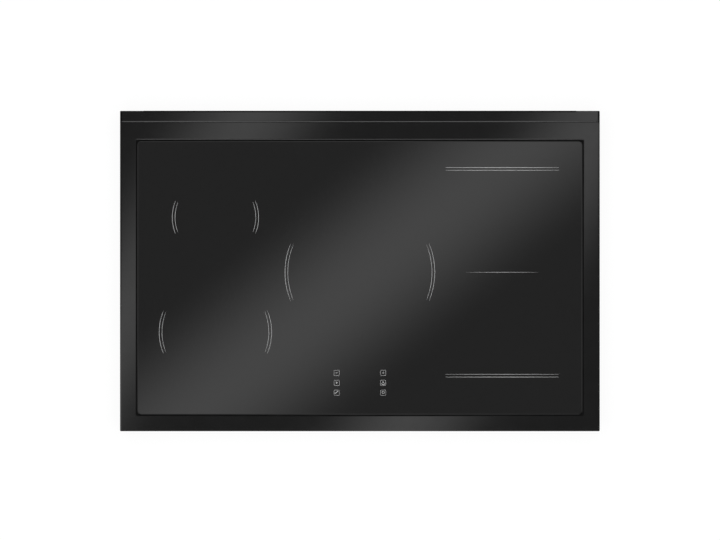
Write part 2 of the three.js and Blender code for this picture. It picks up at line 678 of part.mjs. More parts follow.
function panWallPoints() {
  const side = PAN.right - POCKET;
  const front = PAN.front + POCKET;
  const rear = PAN.rear - POCKET;
  const frontAndRight = [
    [-side, PAN.front], [side, PAN.front], [side, front], [PAN.right, front], [PAN.right, rear],
  ];
  const cableNotch = [
    [CABLE_NOTCH.right, PAN.rear],
    [CABLE_NOTCH.right, CABLE_NOTCH.front],
    [CABLE_NOTCH.left, CABLE_NOTCH.front],
    [CABLE_NOTCH.left, PAN.rear],
  ];
  const rearAndLeft = [[-side, PAN.rear], [-side, rear], [PAN.left, rear], [PAN.left, front], [-side, front]];
  return [...frontAndRight, [side, rear], [side, PAN.rear], ...cableNotch, ...rearAndLeft];
}

// Moves every edge of a square-cornered outline inward by the same amount.
function insetPoints(points, amount) {
  return points.map(([x, y], index) => {
    const [beforeX, beforeY] = points[(index + points.length - 1) % points.length];
    const [afterX, afterY] = points[(index + 1) % points.length];
    const inX = -Math.sign(y - beforeY) - Math.sign(afterY - y);
    const inY = Math.sign(x - beforeX) + Math.sign(afterX - x);
    return [x + inX * amount, y + inY * amount];
  });
}

function intakeSlots(fan) {
  return spread(INTAKE.slots, INTAKE.slots * INTAKE.pitch).map((x) => {
    const half = Math.sqrt(INTAKE.radius ** 2 - x ** 2);
    return blockAt(fan.x + x, fan.y, INTAKE.slotWidth / 2, half, -THROUGH, PAN_SHEET + THROUGH);
  });
}

function boardStandoffs(box) {
  const half = BOARD.standoff;
  return screwSpots(box).map(([x, y]) => blockAt(x, y, half, half, PAN_SHEET / 2, BOARD.low - FIT));
}

function clampSpots() {
  const front = PAN.front + CLAMP.reach;
  const rear = PAN.rear - CLAMP.reach;
  return [
    { name: 'front_left', x: -CLAMP.x, y: front, way: -1 },
    { name: 'front_right', x: CLAMP.x, y: front, way: -1 },
    { name: 'rear_left', x: -CLAMP.x, y: rear, way: 1 },
    { name: 'rear_right', x: CLAMP.x, y: rear, way: 1 },
  ];
}

function panShell() {
  const points = panWallPoints();
  const lipLow = PAN_TOP - PAN_SHEET;
  const inside = slab(polygon(insetPoints(points, PAN_SHEET)), PAN_SHEET, lipLow);
  const mouth = slab(polygon(insetPoints(points, PAN_FLANGE)), lipLow - THROUGH, PAN_TOP + THROUGH);
  const floor = block(PAN, 0, PAN_SHEET);
  const notch = blockCut({ ...CABLE_NOTCH, rear: PAN.rear + THROUGH }, 0, PAN_SHEET);
  return without(slab(polygon(points), 0, PAN_TOP), [inside, mouth]).add(floor.subtract(notch));
}

function panCuts() {
  const notchArea = block(grown({ ...CABLE_NOTCH, rear: PAN.rear }, PAN_FLANGE), 0, PAN_TOP);
  const exhaust = outletWindows(PAN.rear - 2 * PAN_SHEET, PAN.rear + THROUGH, EXHAUST_LOW, EXHAUST_HIGH)
    .map((window) => window.subtract(notchArea));
  const wallInside = CABLE_NOTCH.front - 2 * PAN_SHEET;
  const wireway = rod(GLAND.x, GLAND.z, GLAND_HOLE, wallInside, CABLE_NOTCH.front + THROUGH, 16);
  return [...FANS.flatMap(intakeSlots), ...exhaust, wireway, blockCut(HATCH, 0, PAN_SHEET)];
}

function makePan() {
  const posts = clampSpots().map(({ x, y }) => disc(x, y, POST.radius, PAN_SHEET / 2, POST.high, 10));
  const standoffs = [POWER_BOARD, mirrored(POWER_BOARD), FILTER_BOARD].flatMap(boardStandoffs);
  addGalvanised('base_pan', without(joined([panShell(), ...posts, ...standoffs]), panCuts()));
}

function makeClamp(spot) {
  const { x, y, way } = spot;
  const { length, halfWidth } = CLAMP_ARM;
  const boss = disc(x, y, CLAMP.boss, CLAMP.low, CLAMP.high, 16);
  const arm = blockAt(x, y + way * length / 2, halfWidth, length / 2, CLAMP_ARM.low, CLAMP.high);
  const tipY = y + way * (length - CLAMP_TIP.length / 2);
  const tip = blockAt(x, tipY, halfWidth, CLAMP_TIP.length / 2, CLAMP_ARM.low, CLAMP_TIP.high);
  const bore = discCut(x, y, CLAMP.bore, CLAMP.low, CLAMP.high, 10);
  addSpringSteel(`worktop_clamp_${spot.name}`, joined([boss, arm, tip]).subtract(bore));
}

makeSurround();
makeLedge();
makeGrille();
makeGlass();
makeSeals();
ROUND_COILS.forEach(makeRoundCoil);
FLEX_COILS.forEach(makeFlexCoil);
[...ROUND_COILS, ...FLEX_COILS].forEach(makeSensor);
makeTray(TRAYS[0], ROUND_COILS.slice(0, 2));
makeTray(TRAYS[1], ROUND_COILS.slice(2));
makeTray(TRAYS[2], FLEX_COILS);
makeRailsAndSprings();
FANS.forEach(makeHousing);
FANS.forEach(makeRotor);
makeBoard('power_board_left', mirrored(POWER_BOARD), BOARD.low, BOARD.high);
makeBoard('power_board_right', POWER_BOARD, BOARD.low, BOARD.high);
makeBoard('filter_board', FILTER_BOARD, BOARD.low, BOARD.high);
makeHeatsink('heatsink_left', -HEATSINK.x);
makeHeatsink('heatsink_right', HEATSINK.x);
makeControls();
makeTerminalBox();
makeTerminalBlock();
makeTerminalCover();
makeGland();
makePan();
clampSpots().forEach(makeClamp);

export default cooktop;
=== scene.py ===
import json
import math

import bmesh
import bpy
from mathutils import Matrix, Vector


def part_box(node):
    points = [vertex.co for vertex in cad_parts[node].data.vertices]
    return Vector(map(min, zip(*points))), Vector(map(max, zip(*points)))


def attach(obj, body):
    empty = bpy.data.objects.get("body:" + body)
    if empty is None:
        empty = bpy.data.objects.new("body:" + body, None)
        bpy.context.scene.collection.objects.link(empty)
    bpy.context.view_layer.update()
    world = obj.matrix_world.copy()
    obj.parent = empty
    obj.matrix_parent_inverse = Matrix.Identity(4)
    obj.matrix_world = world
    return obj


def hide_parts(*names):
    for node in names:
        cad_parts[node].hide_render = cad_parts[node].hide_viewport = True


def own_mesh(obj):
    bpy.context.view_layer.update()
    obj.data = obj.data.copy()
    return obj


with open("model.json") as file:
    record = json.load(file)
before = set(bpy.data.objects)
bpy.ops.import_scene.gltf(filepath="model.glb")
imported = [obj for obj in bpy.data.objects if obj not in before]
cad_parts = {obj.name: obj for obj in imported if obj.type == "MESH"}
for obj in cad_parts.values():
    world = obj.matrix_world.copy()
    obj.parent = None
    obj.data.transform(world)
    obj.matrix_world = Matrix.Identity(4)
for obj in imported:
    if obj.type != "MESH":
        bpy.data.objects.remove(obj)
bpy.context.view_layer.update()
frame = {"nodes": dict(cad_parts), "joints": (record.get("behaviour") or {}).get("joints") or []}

MM = 0.001

# Places read from the CAD frame, in metres.
GLASS_LOW, GLASS_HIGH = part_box("glass_plate")
SURROUND_LOW, SURROUND_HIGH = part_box("surround_frame")
LEDGE_LOW, LEDGE_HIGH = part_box("rear_ledge")
GRILLE_LOW, GRILLE_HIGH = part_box("rear_vent_grille")
SEAL_LOW, SEAL_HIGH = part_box("glass_seal")
FOAM_LOW, FOAM_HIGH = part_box("worktop_seal")
PAN_LOW, PAN_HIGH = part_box("base_pan")
COILS = ("rear_left", "front_left", "centre", "rear_right", "front_right")
ROUND_COILS = COILS[:3]
FLEX_COILS = COILS[3:]
SIDES = ("left", "right")
TRAYS = ("left", "centre", "right")
ROWS = ("front", "rear")
BOARDS = ("power_board_left", "power_board_right", "filter_board", "control_board")

# Surround, measured from the frame's own box.
STEEL = 1.5 * MM
BAND_SIDE = 29.5 * MM
BAND_FRONT = 28.2 * MM
BAND_REAR = 54.3 * MM
SHELF_WIDTH = 12 * MM
LIP_WIDTH = 8 * MM
SHELF_DROP = 4.8 * MM
SIDE_ROUND = 3.6 * MM
FOLD_ROUND = 0.4 * MM
REAR_FOLD_ROUND = 2.0 * MM
HOLD = 0.3 * MM
LEDGE_ROUND = 3 * MM
FIT = 0.3 * MM
OUTER_CORNER = 1.8 * MM
OPENING_CORNER = 3 * MM
GLASS_CORNER = 6.5 * MM

# Printed marks on the glass.
PRINT_LOW = GLASS_HIGH.z + 0.01 * MM
PRINT_HIGH = PRINT_LOW + 0.05 * MM
ARC_HALF_ANGLE = math.radians(22.5)
STROKE = 0.76 * MM
ZONE_MARKS = {
    "rear_left": (80.8 * MM, 75.6 * MM),
    "front_left": (105.2 * MM, 100.0 * MM),
    "centre": (140.2 * MM, 135.0 * MM),
}
ARC_SHARES = (1.0, 0.85)
FLEX_LINES = (196.1 * MM, 191.0 * MM)
FLEX_SHARES = {1: (1.35, 1.2), -1: (1.2, 0.9)}
FLEX_MIDDLE_SHARE = 0.8
FLEX_LINE_HALF = 105.9 * MM
FLEX_MIDDLE_HALF = 69 * MM
KEY_X = 43.5 * MM
KEY_Y = (-190.9 * MM, -209.5 * MM, -228 * MM)
KEY_HALF = 5.2 * MM
KEY_STROKE = 0.52 * MM
SIGN_STROKE = 1.15 * MM
KEY_CORNER = 1.7 * MM

# Tones of the world from straight down (0) to straight up (1).
WORLD_TONES = ((0.0, 0.25), (0.46, 0.12), (0.5, 0.6), (0.56, 0.5), (0.66, 0.04), (1.0, 0.04))


# Meshes.

def mesh_object(name, vertices, faces, sharp_degrees=35):
    """A smooth-shaded object of vertices and faces, with its normals outward and its folds sharp."""
    mesh = bpy.data.meshes.new(name)
    mesh.from_pydata([tuple(v) for v in vertices], [], faces)
    shaped = bmesh.new()
    shaped.from_mesh(mesh)
    bmesh.ops.remove_doubles(shaped, verts=shaped.verts, dist=2e-6)
    bmesh.ops.recalc_face_normals(shaped, faces=shaped.faces)
    shaped.to_mesh(mesh)
    shaped.free()
    mesh.shade_smooth()
    mesh.set_sharp_from_angle(angle=math.radians(sharp_degrees))
    piece = bpy.data.objects.new(name, mesh)
    bpy.context.scene.collection.objects.link(piece)
    return piece


def joined_parts(parts):
    """The vertices and faces of several (vertices, faces) pairs, as one pair."""
    vertices = []
    faces = []
    for part_vertices, part_faces in parts:
        start = len(vertices)
        vertices.extend(part_vertices)
        faces.extend([tuple(index + start for index in face) for face in part_faces])
    return vertices, faces


def polar(x, y, radius, angle):
    """The point at an angle on a circle round (x, y)."""
    return x + radius * math.cos(angle), y + radius * math.sin(angle)


def rounded_ring(box, radius, z, steps=6):
    """The points of a rounded rectangle (left, right, front, rear) at one height."""
    left, right, front, rear = box
    corners = (
        (right - radius, front + radius, -90),
        (right - radius, rear - radius, 0),
        (left + radius, rear - radius, 90),
        (left + radius, front + radius, 180),
    )
    points = []
    for x, y, start in corners:
        for step in range(steps + 1):
            angle = math.radians(start + 90 * step / steps)
            points.append((*polar(x, y, radius, angle), z))
    return points


def full_turn(steps):
    """Evenly spread angles of one whole turn."""
    return [2 * math.pi * step / steps for step in range(steps)]


def half_turn(steps):
    """Evenly spread angles of half a turn, with both its ends."""
    return [math.pi * step / steps for step in range(steps + 1)]


def quarter_turn(steps):
    """How far a quarter-round fold has moved across and along, as shares, from upright to flat."""
    turns = [math.pi / 2 * step / steps for step in range(steps + 1)]
    return [(1 - math.cos(turn), 1 - math.sin(turn)) for turn in turns]


def loft(rings, closed=False, capped=True):
    """Joins rings of equal length with quads. A closed loft runs from its last ring back to its first."""
    count = len(rings[0])
    vertices = [point for ring in rings for point in ring]
    faces = []
    last = len(rings) if closed else len(rings) - 1
    for index in range(last):
        low = index * count
        high = ((index + 1) % len(rings)) * count
        for step in range(count):
            after = (step + 1) % count
            faces.append((low + step, low + after, high + after, high + step))
    if capped and not closed:
        faces.append(tuple(reversed(range(count))))
        faces.append(tuple(range((len(rings) - 1) * count, len(rings) * count)))
    return vertices, faces


def grown(box, amount):
    """A plan box (left, right, front, rear) made larger all round."""
    left, right, front, rear = box
    return left - amount, right + amount, front - amount, rear + amount


def plan_box(node):
    """A CAD node's plan box."""
    low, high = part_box(node)
    return low.x, high.x, low.y, high.y


def soft_block(box, low, high, edge, corner=0.8 * MM):
    """A rounded block: a loft with rolled edges at the top and the bottom."""
    fold = [(grown(box, -edge * across), edge * along) for along, across in quarter_turn(2)]
    under = [rounded_ring(ring_box, corner, low + rise, 3) for ring_box, rise in fold]
    over = [rounded_ring(ring_box, corner, high - drop, 3) for ring_box, drop in reversed(fold)]
    return loft(under + over)


def turned(centre, outline, steps, axis="Z"):
    """A body turned from an outline of (radius, height) points round an axis through its centre."""
    rings = [
        [(*polar(0, 0, max(radius, 1e-6), turn), height) for turn in full_turn(steps)]
        for radius, height in outline
    ]
    capped = outline[0][0] < 1e-9
    vertices, faces = loft(rings, closed=not capped, capped=capped)
    cx, cy, cz = centre
    if axis == "X":
        return [(cx + z, cy + x, cz + y) for x, y, z in vertices], faces
    if axis == "Y":
        return [(cx + x, cy + z, cz - y) for x, y, z in vertices], faces
    return [(cx + x, cy + y, cz + z) for x, y, z in vertices], faces


def tube(points, radius, sides):
    """A round bar along a list of points."""
    places = [Vector(point) for point in points]
    rings = []
    side = None
    for index, place in enumerate(places):
        before = places[max(index - 1, 0)]
        after = places[min(index + 1, len(places) - 1)]
        along = (after - before).normalized()
        if side is None:
            side = along.orthogonal().normalized()
        side = (side - along * side.dot(along)).normalized()
        other = along.cross(side)
        rings.append([place + radius * (side * math.cos(a) + other * math.sin(a)) for a in full_turn(sides)])
    return loft(rings)


def profile_along_x(outline, left, right):
    """A straight bar of an outline of (y, z) points."""
    rings = [[(x, y, z) for y, z in outline] for x in (left, right)]
    return loft(rings)


def cut(piece, parts):
    """Cuts solids, given as (vertices, faces), out of a piece and applies the result to its mesh."""
    vertices, faces = joined_parts(parts)
    cutter = mesh_object("cutter", vertices, faces)
    modifier = piece.modifiers.new("cut", "BOOLEAN")
    modifier.object = cutter
    modifier.operation = "DIFFERENCE"
    modifier.solver = "EXACT"
    depsgraph = bpy.context.evaluated_depsgraph_get()
    result = bpy.data.meshes.new_from_object(piece.evaluated_get(depsgraph))
    piece.modifiers.clear()
    piece.data = result
    result.set_sharp_from_angle(angle=math.radians(35))
    bpy.data.objects.remove(cutter)
    return piece


def coat(piece, material):
    """Gives a piece one material."""
    piece.data.materials.clear()
    piece.data.materials.append(material)


def add_parts(name, parts, material, body="root", sharp_degrees=35):
    """A new piece of several parts, with its material and the body it rides on."""
    piece = mesh_object(name, *joined_parts(parts), sharp_degrees)
    coat(piece, material)
    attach(piece, body)
    return piece


def stand_in(node, name, parts, material, body="root", sharp_degrees=35):
    """A new piece that is shown in place of a CAD node."""
    piece = add_parts(name, parts, material, body, sharp_degrees)
    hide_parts(node)
    coat(frame["nodes"][node], material)
    return piece


# Materials. A field is a function that adds a pattern to a node tree and returns its socket.

FINE_RELIEF = 0.05 * MM


def add_node(tree, kind, inputs, **settings):
    """A node whose inputs are given values, or links where a socket is given."""
    node = tree.nodes.new(kind)
    for name, value in settings.items():
        setattr(node, name, value)
    for name, value in inputs.items():
        if isinstance(value, bpy.types.NodeSocket):
            tree.links.new(value, node.inputs[name])
        else:
            node.inputs[name].default_value = value
    return node


def noise(scale, detail=3, roughness=0.5):
    """Soft cloudy noise."""
    def field(tree, vector):
        inputs = {"Vector": vector, "Scale": scale, "Detail": detail, "Roughness": roughness}
        return add_node(tree, "ShaderNodeTexNoise", inputs).outputs["Fac"]
    return field


def cells(scale, channel=None):
    """Cells by their distance from the middle, or by one channel of a random colour for each."""
    def field(tree, vector):
        cell = add_node(tree, "ShaderNodeTexVoronoi", {"Vector": vector, "Scale": scale})
        if channel is None:
            return cell.outputs["Distance"]
        return add_node(tree, "ShaderNodeSeparateColor", {"Color": cell.outputs["Color"]}).outputs[channel]
    return field


def board_tracks(output):
    """Lanes of copper under solder mask, in colour or in height."""
    def field(tree, vector):
        return add_node(tree, "ShaderNodeTexBrick", {
            "Vector": vector,
            "Scale": 90,
            "Mortar Size": 0.12,
            "Color1": (0.012, 0.1, 0.035, 1),
            "Color2": (0.016, 0.13, 0.05, 1),
            "Mortar": (0.008, 0.055, 0.02, 1),
        }).outputs[output]
    return field


def colour_ramp(tree, factor, stops):
    """Colours between stops of (position, colour)."""
    ramp = add_node(tree, "ShaderNodeValToRGB", {"Fac": factor})
    elements = ramp.color_ramp.elements
    while len(elements) < len(stops):
        elements.new(0.5)
    for element, (position, colour) in zip(elements, stops):
        element.position = position
        element.color = (*colour, 1)
    return ramp.outputs["Color"]


def grey(value):
    return value, value, value


def surface(name, colour, rough, relief, stretch=(1, 1, 1), even=None):
    """A finish made of three fields.

    colour is a field and its ramp stops, if any. rough is a field, the two roughnesses that it runs
    between and, if need be, the range of the field. relief is a field, a strength and a depth. even
    holds the inputs that have one value all over.
    """
    material = bpy.data.materials.new(name)
    material.use_nodes = True
    tree = material.node_tree
    shader = tree.nodes["Principled BSDF"]
    for socket, value in (even or {}).items():
        shader.inputs[socket].default_value = value
    place = tree.nodes.new("ShaderNodeTexCoord").outputs["Object"]
    vector = add_node(tree, "ShaderNodeMapping", {"Vector": place, "Scale": stretch}).outputs["Vector"]
    field, *stops = colour
    tone = field(tree, vector)
    if stops:
        tone = colour_ramp(tree, tone, stops)
    tree.links.new(tone, shader.inputs["Base Color"])
    field, low, high, *span = rough
    start, end = span or (0.3, 0.7)
    gloss = add_node(tree, "ShaderNodeMapRange", {
        "Value": field(tree, vector), "From Min": start, "From Max": end, "To Min": low, "To Max": high,
    })
    tree.links.new(gloss.outputs["Result"], shader.inputs["Roughness"])
    field, strength, depth = relief
    height = field(tree, vector)
    bump = add_node(tree, "ShaderNodeBump", {"Height": height, "Strength": strength, "Distance": depth})
    tree.links.new(bump.outputs["Normal"], shader.inputs["Normal"])
    return material


def grained(name, dark, light, rough, grain=900, grain_bump=0.15, stretch=(1, 1, 1), patch=25, even=None):
    """A moulded, cast or sheet finish: slow colour patches, uneven gloss and a fine grain in relief."""
    colour = (noise(patch), (0.35, dark), (0.65, light))
    relief = (noise(grain, 5, 0.6), grain_bump, FINE_RELIEF)
    return surface(name, colour, (noise(patch * 3, 4), *rough), relief, stretch, even)


def brushed(name, dark, light, rough, stretch):
    """Rolled or drawn metal with fine lines along one direction."""
    return grained(name, dark, light, rough, 300, 0.12, stretch, 30, {"Metallic": 1.0})


def wire_coat(name, dark, light, rough=(0.4, 0.5)):
    """The plastic of a wire."""
    return grained(name, dark, light, rough, grain_bump=0.08)


# Black satin enamel: a faint orange peel in a hard, even coat.
ENAMEL = surface(
    "satin_enamel",
    (noise(40, 5), (0.3, grey(0.0008)), (0.7, grey(0.0016))),
    (noise(60, 4), 0.145, 0.18),
    (noise(700, 2), 0.03, FINE_RELIEF),
)
# Matt black enamel for the grille, with hardly any gloss.
GRILLE_ENAMEL = grained(
    "matt_enamel", grey(0.0012), grey(0.0024), (0.42, 0.52), 1200, 0.1, even={"Specular IOR Level": 0.15}
)
# Black glass-ceramic: a polished face with the faintest unevenness.
BLACK_GLASS = surface(
    "black_glass_ceramic",
    (noise(220, 6), (0.35, grey(0.0035)), (0.7, grey(0.0048))),
    (noise(9), 0.055, 0.085),
    (noise(14, 2), 0.02, FINE_RELIEF),
    even={"IOR": 1.52},
)
# Fired ceramic print: pale grey dots in a dense screen, under a gloss like the glass.
PRINT_INK = surface(
    "fired_print",
    (cells(2600), (0.2, grey(0.34)), (0.8, grey(0.27))),
    (noise(300), 0.2, 0.3),
    (cells(2600), 0.05, 0.01 * MM),
)
SILICONE = grained(
    "black_silicone", grey(0.002), grey(0.004), (0.7, 0.85), 1500, 0.2, even={"Specular IOR Level": 0.2}
)
# Closed-cell foam: dark, with small rounded cells; each cell's colour is painted darker towards its hollow
# middle, painted shade that follows the relief.
FOAM = surface(
    "closed_cell_foam",
    (cells(1500), (0.1, grey(0.018)), (0.7, grey(0.045))),
    (noise(80), 0.8, 0.95),
    (cells(1500), 0.7, 0.3 * MM),
)
# Zinc-coated sheet: crystal spangles that differ in tone and gloss.
GALVANISED = surface(
    "galvanised_sheet",
    (cells(150, "Red"), (0.1, (0.5, 0.52, 0.54)), (0.9, (0.62, 0.64, 0.65))),
    (cells(150, "Green"), 0.36, 0.48, 0.0, 1.0),
    (noise(400, 4), 0.08, FINE_RELIEF),
    even={"Metallic": 1.0},
)
# Enamelled copper litz: fine strands that twist along the turn, the colour painted darker in the hollows of
# the relief as painted shade.
LITZ = surface(
    "copper_litz",
    (cells(1400), (0.1, (0.2, 0.07, 0.02)), (0.8, (0.62, 0.27, 0.1))),
    (noise(500, 4), 0.28, 0.5),
    (cells(1400), 0.6, 0.15 * MM),
    even={"Metallic": 0.85},
)
# Pressed mica sheet: overlapping pale flakes with a pearly gloss.
MICA = surface(
    "pressed_mica",
    (cells(160, "Red"), (0.0, (0.42, 0.34, 0.2)), (1.0, (0.66, 0.58, 0.42))),
    (cells(160, "Blue"), 0.25, 0.5, 0.0, 1.0),
    (noise(260, 5), 0.2, FINE_RELIEF),
)
CIRCUIT_BOARD = surface(
    "circuit_board",
    (board_tracks("Color"),),
    (noise(150), 0.25, 0.4),
    (board_tracks("Fac"), 0.2, FINE_RELIEF),
)
ZINC = brushed("zinc_plate", (0.42, 0.43, 0.43), (0.62, 0.62, 0.58), (0.28, 0.4), (1, 6, 1))
SPRING_STEEL = brushed(
    "blued_spring_steel", (0.1, 0.11, 0.14), (0.2, 0.21, 0.25), (0.25, 0.38), (1, 10, 10)
)
TRAY_ALUMINIUM = brushed("mill_aluminium", (0.6, 0.61, 0.62), (0.74, 0.75, 0.76), (0.3, 0.42), (1, 14, 1))
FIN_ALUMINIUM = brushed(
    "extruded_aluminium", (0.62, 0.63, 0.65), (0.78, 0.79, 0.8), (0.22, 0.36), (14, 1, 14)
)
SENSOR_STEEL = brushed("sensor_steel", (0.45, 0.45, 0.46), (0.68, 0.68, 0.7), (0.2, 0.34), (8, 8, 1))
TINNED = brushed("tinned_metal", grey(0.55), grey(0.7), (0.22, 0.34), (6, 6, 1))
BRASS = brushed("brass", (0.5, 0.35, 0.12), (0.68, 0.5, 0.22), (0.25, 0.38), (4, 4, 4))
FERRITE = grained("sintered_ferrite", grey(0.02), grey(0.05), (0.45, 0.65), 1800, 0.25)
COIL_PLASTIC = grained("heat_resistant_plastic", (0.5, 0.47, 0.4), (0.6, 0.57, 0.5), (0.45, 0.6))
DARK_PLASTIC = grained("moulded_black_plastic", grey(0.012), grey(0.02), (0.42, 0.6))
ROTOR_PLASTIC = grained("glass_filled_plastic", grey(0.03), grey(0.055), (0.35, 0.5), 1400)
CAPACITOR_SLEEVE = grained(
    "capacitor_sleeve", (0.012, 0.014, 0.03), (0.02, 0.024, 0.05), (0.3, 0.42), grain_bump=0.06
)
FILM_CASE = grained("film_capacitor_case", (0.5, 0.27, 0.03), (0.6, 0.34, 0.05), (0.4, 0.52))
CHIP_EPOXY = grained("chip_epoxy", grey(0.012), grey(0.022), (0.5, 0.65), 1600, 0.2)
PALE_PLASTIC = grained("moulded_pale_plastic", (0.5, 0.48, 0.43), (0.58, 0.56, 0.51), (0.4, 0.55))
WIRE_BROWN = wire_coat("wire_brown", (0.1, 0.035, 0.012), (0.13, 0.05, 0.018))
WIRE_BLACK = wire_coat("wire_black", grey(0.01), grey(0.02))
WIRE_GREY = wire_coat("wire_grey", grey(0.16), grey(0.22))
WIRE_BLUE = wire_coat("wire_blue", (0.01, 0.06, 0.3), (0.015, 0.08, 0.36), (0.38, 0.5))

CAD_FINISHES = {
    GALVANISED: ["base_pan", "terminal_cover", "cross_rail_front", "cross_rail_rear"],
    COIL_PLASTIC: [f"coil_former_{name}" for name in COILS],
    FERRITE: [f"ferrite_{name}" for name in COILS],
    SENSOR_STEEL: [f"temperature_sensor_{name}" for name in COILS],
    TRAY_ALUMINIUM: [f"coil_tray_{name}" for name in TRAYS],
    MICA: [f"mica_sheet_{name}" for name in TRAYS],
    FIN_ALUMINIUM: ["heatsink_left", "heatsink_right"],
    CIRCUIT_BOARD: BOARDS,
    DARK_PLASTIC: ["fan_housing_left", "fan_housing_right", "control_carrier", "terminal_box"],
    ROTOR_PLASTIC: ["fan_rotor_left", "fan_rotor_right"],
    PALE_PLASTIC: ["terminal_block"],
}


def finish_cad_nodes():
    """Every CAD node that stays in sight gets its procedural finish."""
    for material, names in CAD_FINISHES.items():
        for name in names:
            coat(frame["nodes"][name], material)


# Outer pieces.

def opening_box():
    """The plan of the opening that the glass lies in."""
    return (
        SURROUND_LOW.x + BAND_SIDE,
        SURROUND_HIGH.x - BAND_SIDE,
        SURROUND_LOW.y + BAND_FRONT,
        SURROUND_HIGH.y - BAND_REAR,
    )


def inset_box(box, side, front, rear):
    """A plan box made smaller by its own amount at the sides, the front and the rear."""
    left, right, low, high = box
    return left + side, right - side, low + front, high - rear


def surround_rings():
    """The rings of the surround's folded sheet, from the hem round the band and down to the glass shelf."""
    outer = (SURROUND_LOW.x, SURROUND_HIGH.x, SURROUND_LOW.y, SURROUND_HIGH.y)
    opening = opening_box()
    top = SURROUND_HIGH.z
    bottom = SURROUND_LOW.z
    shelf = top - SHELF_DROP
    rings = [
        rounded_ring(grown(outer, -LIP_WIDTH), OUTER_CORNER, bottom + STEEL),
        rounded_ring(grown(outer, -LIP_WIDTH), OUTER_CORNER, bottom),
        rounded_ring(grown(outer, -0.5 * MM), OUTER_CORNER, bottom),
        rounded_ring(outer, OUTER_CORNER, bottom + 0.5 * MM),
    ]
    for flat, drop in quarter_turn(8):
        box = inset_box(outer, SIDE_ROUND * flat, FOLD_ROUND * flat, FOLD_ROUND * flat)
        rings.append(rounded_ring(box, OUTER_CORNER, top - FOLD_ROUND * drop))
    rings.append(rounded_ring(grown(box, -HOLD), OUTER_CORNER, top))
    fold_start = inset_box(opening, -FOLD_ROUND, -FOLD_ROUND, -REAR_FOLD_ROUND)
    rings.append(rounded_ring(grown(fold_start, HOLD), OPENING_CORNER, top))
    for drop, flat in quarter_turn(8):
        box = inset_box(opening, -FOLD_ROUND * flat, -FOLD_ROUND * flat, -REAR_FOLD_ROUND * flat)
        ring = rounded_ring(box, OPENING_CORNER, top - FOLD_ROUND * drop)
        rear_start = opening[3] - OPENING_CORNER
        extra = (REAR_FOLD_ROUND - FOLD_ROUND) * drop
        rings.append([
            (x, y, z - extra * min(max((y - rear_start) / OPENING_CORNER, 0), 1)) for x, y, z in ring
        ])
    rings += [
        rounded_ring(opening, OPENING_CORNER, shelf + FOLD_ROUND),
        rounded_ring(opening, OPENING_CORNER, shelf),
        rounded_ring(grown(opening, -SHELF_WIDTH), OPENING_CORNER, shelf),
        rounded_ring(grown(opening, -SHELF_WIDTH), OPENING_CORNER, shelf - STEEL),
        rounded_ring(grown(opening, STEEL), OPENING_CORNER, shelf - STEEL),
        rounded_ring(grown(opening, STEEL), OPENING_CORNER, top - STEEL),
        rounded_ring(grown(outer, -STEEL), OUTER_CORNER / 2, top - STEEL),
        rounded_ring(grown(outer, -STEEL), OUTER_CORNER / 2, bottom + STEEL),
    ]
    return rings


def grille_notch(low, high):
    """The space that the grille takes in the back of the surround and the ledge."""
    box = (GRILLE_LOW.x - FIT, GRILLE_HIGH.x + FIT, GRILLE_LOW.y - FIT, GRILLE_HIGH.y + FIT)
    return soft_block(box, low, high, 0.1 * MM, 0.2 * MM)


def cut_slots(piece, places, half, span_z, radius, front, rear):
    """Cuts rounded slots of one width and height, front to rear, round several places along X."""
    slots = []
    for place in places:
        outline = rounded_ring((place - half, place + half, *span_z), radius, 0, 4)
        slots.append(loft([[(x, y, z) for x, z, _ in outline] for y in (front, rear)]))
    cut(piece, slots)


def row(count, span):
    """The middles of equal shares of a span round zero."""
    return [span * ((index + 0.5) / count - 0.5) for index in range(count)]


def make_surround():
    """The folded surround, open behind for the grille, and the slotted wall in front of the grille."""
    surround = stand_in(
        "surround_frame", "surround_band", [loft(surround_rings(), closed=True)], ENAMEL,
        sharp_degrees=50,
    )
    cut(surround, [grille_notch(SURROUND_LOW.z + 2 * STEEL, SURROUND_HIGH.z + STEEL)])
    front = GRILLE_LOW.y - FIT - STEEL
    box = (GRILLE_LOW.x - FIT, GRILLE_HIGH.x + FIT, front, front + STEEL)
    sheet = soft_block(box, SURROUND_LOW.z, SURROUND_HIGH.z - STEEL, 0.2 * MM)
    wall = add_parts("surround_back_wall", [sheet], ENAMEL)
    span_z = (SURROUND_LOW.z + 4 * MM, SURROUND_HIGH.z - 4 * MM)
    cut_slots(wall, row(10, 2 * GRILLE_HIGH.x), 30 * MM, span_z, 2 * MM, front - STEEL, front + 2 * STEEL)
    return surround


def make_ledge():
    """The hollow ledge: rounded along its front and at its ends, and cut away behind for the grille."""
    outer = plan_box("rear_ledge")
    inner = grown(outer, -STEEL)
    top = LEDGE_HIGH.z
    rings = [
        rounded_ring(inner, FOLD_ROUND, top - STEEL),
        rounded_ring(inner, FOLD_ROUND, SURROUND_HIGH.z),
        rounded_ring(outer, OUTER_CORNER, SURROUND_HIGH.z),
    ]
    for flat, drop in quarter_turn(10):
        box = inset_box(outer, SIDE_ROUND * flat, LEDGE_ROUND * flat, LEDGE_ROUND * flat / 4)
        rings.append(rounded_ring(box, OUTER_CORNER, top - LEDGE_ROUND * drop))
    rings.append(rounded_ring(grown(box, -HOLD), OUTER_CORNER, top))
    ledge = stand_in(
        "rear_ledge", "rear_ledge_cover", [loft(rings)], ENAMEL, sharp_degrees=50
    )
    return cut(ledge, [grille_notch(LEDGE_LOW.z - STEEL, LEDGE_HIGH.z + STEEL)])


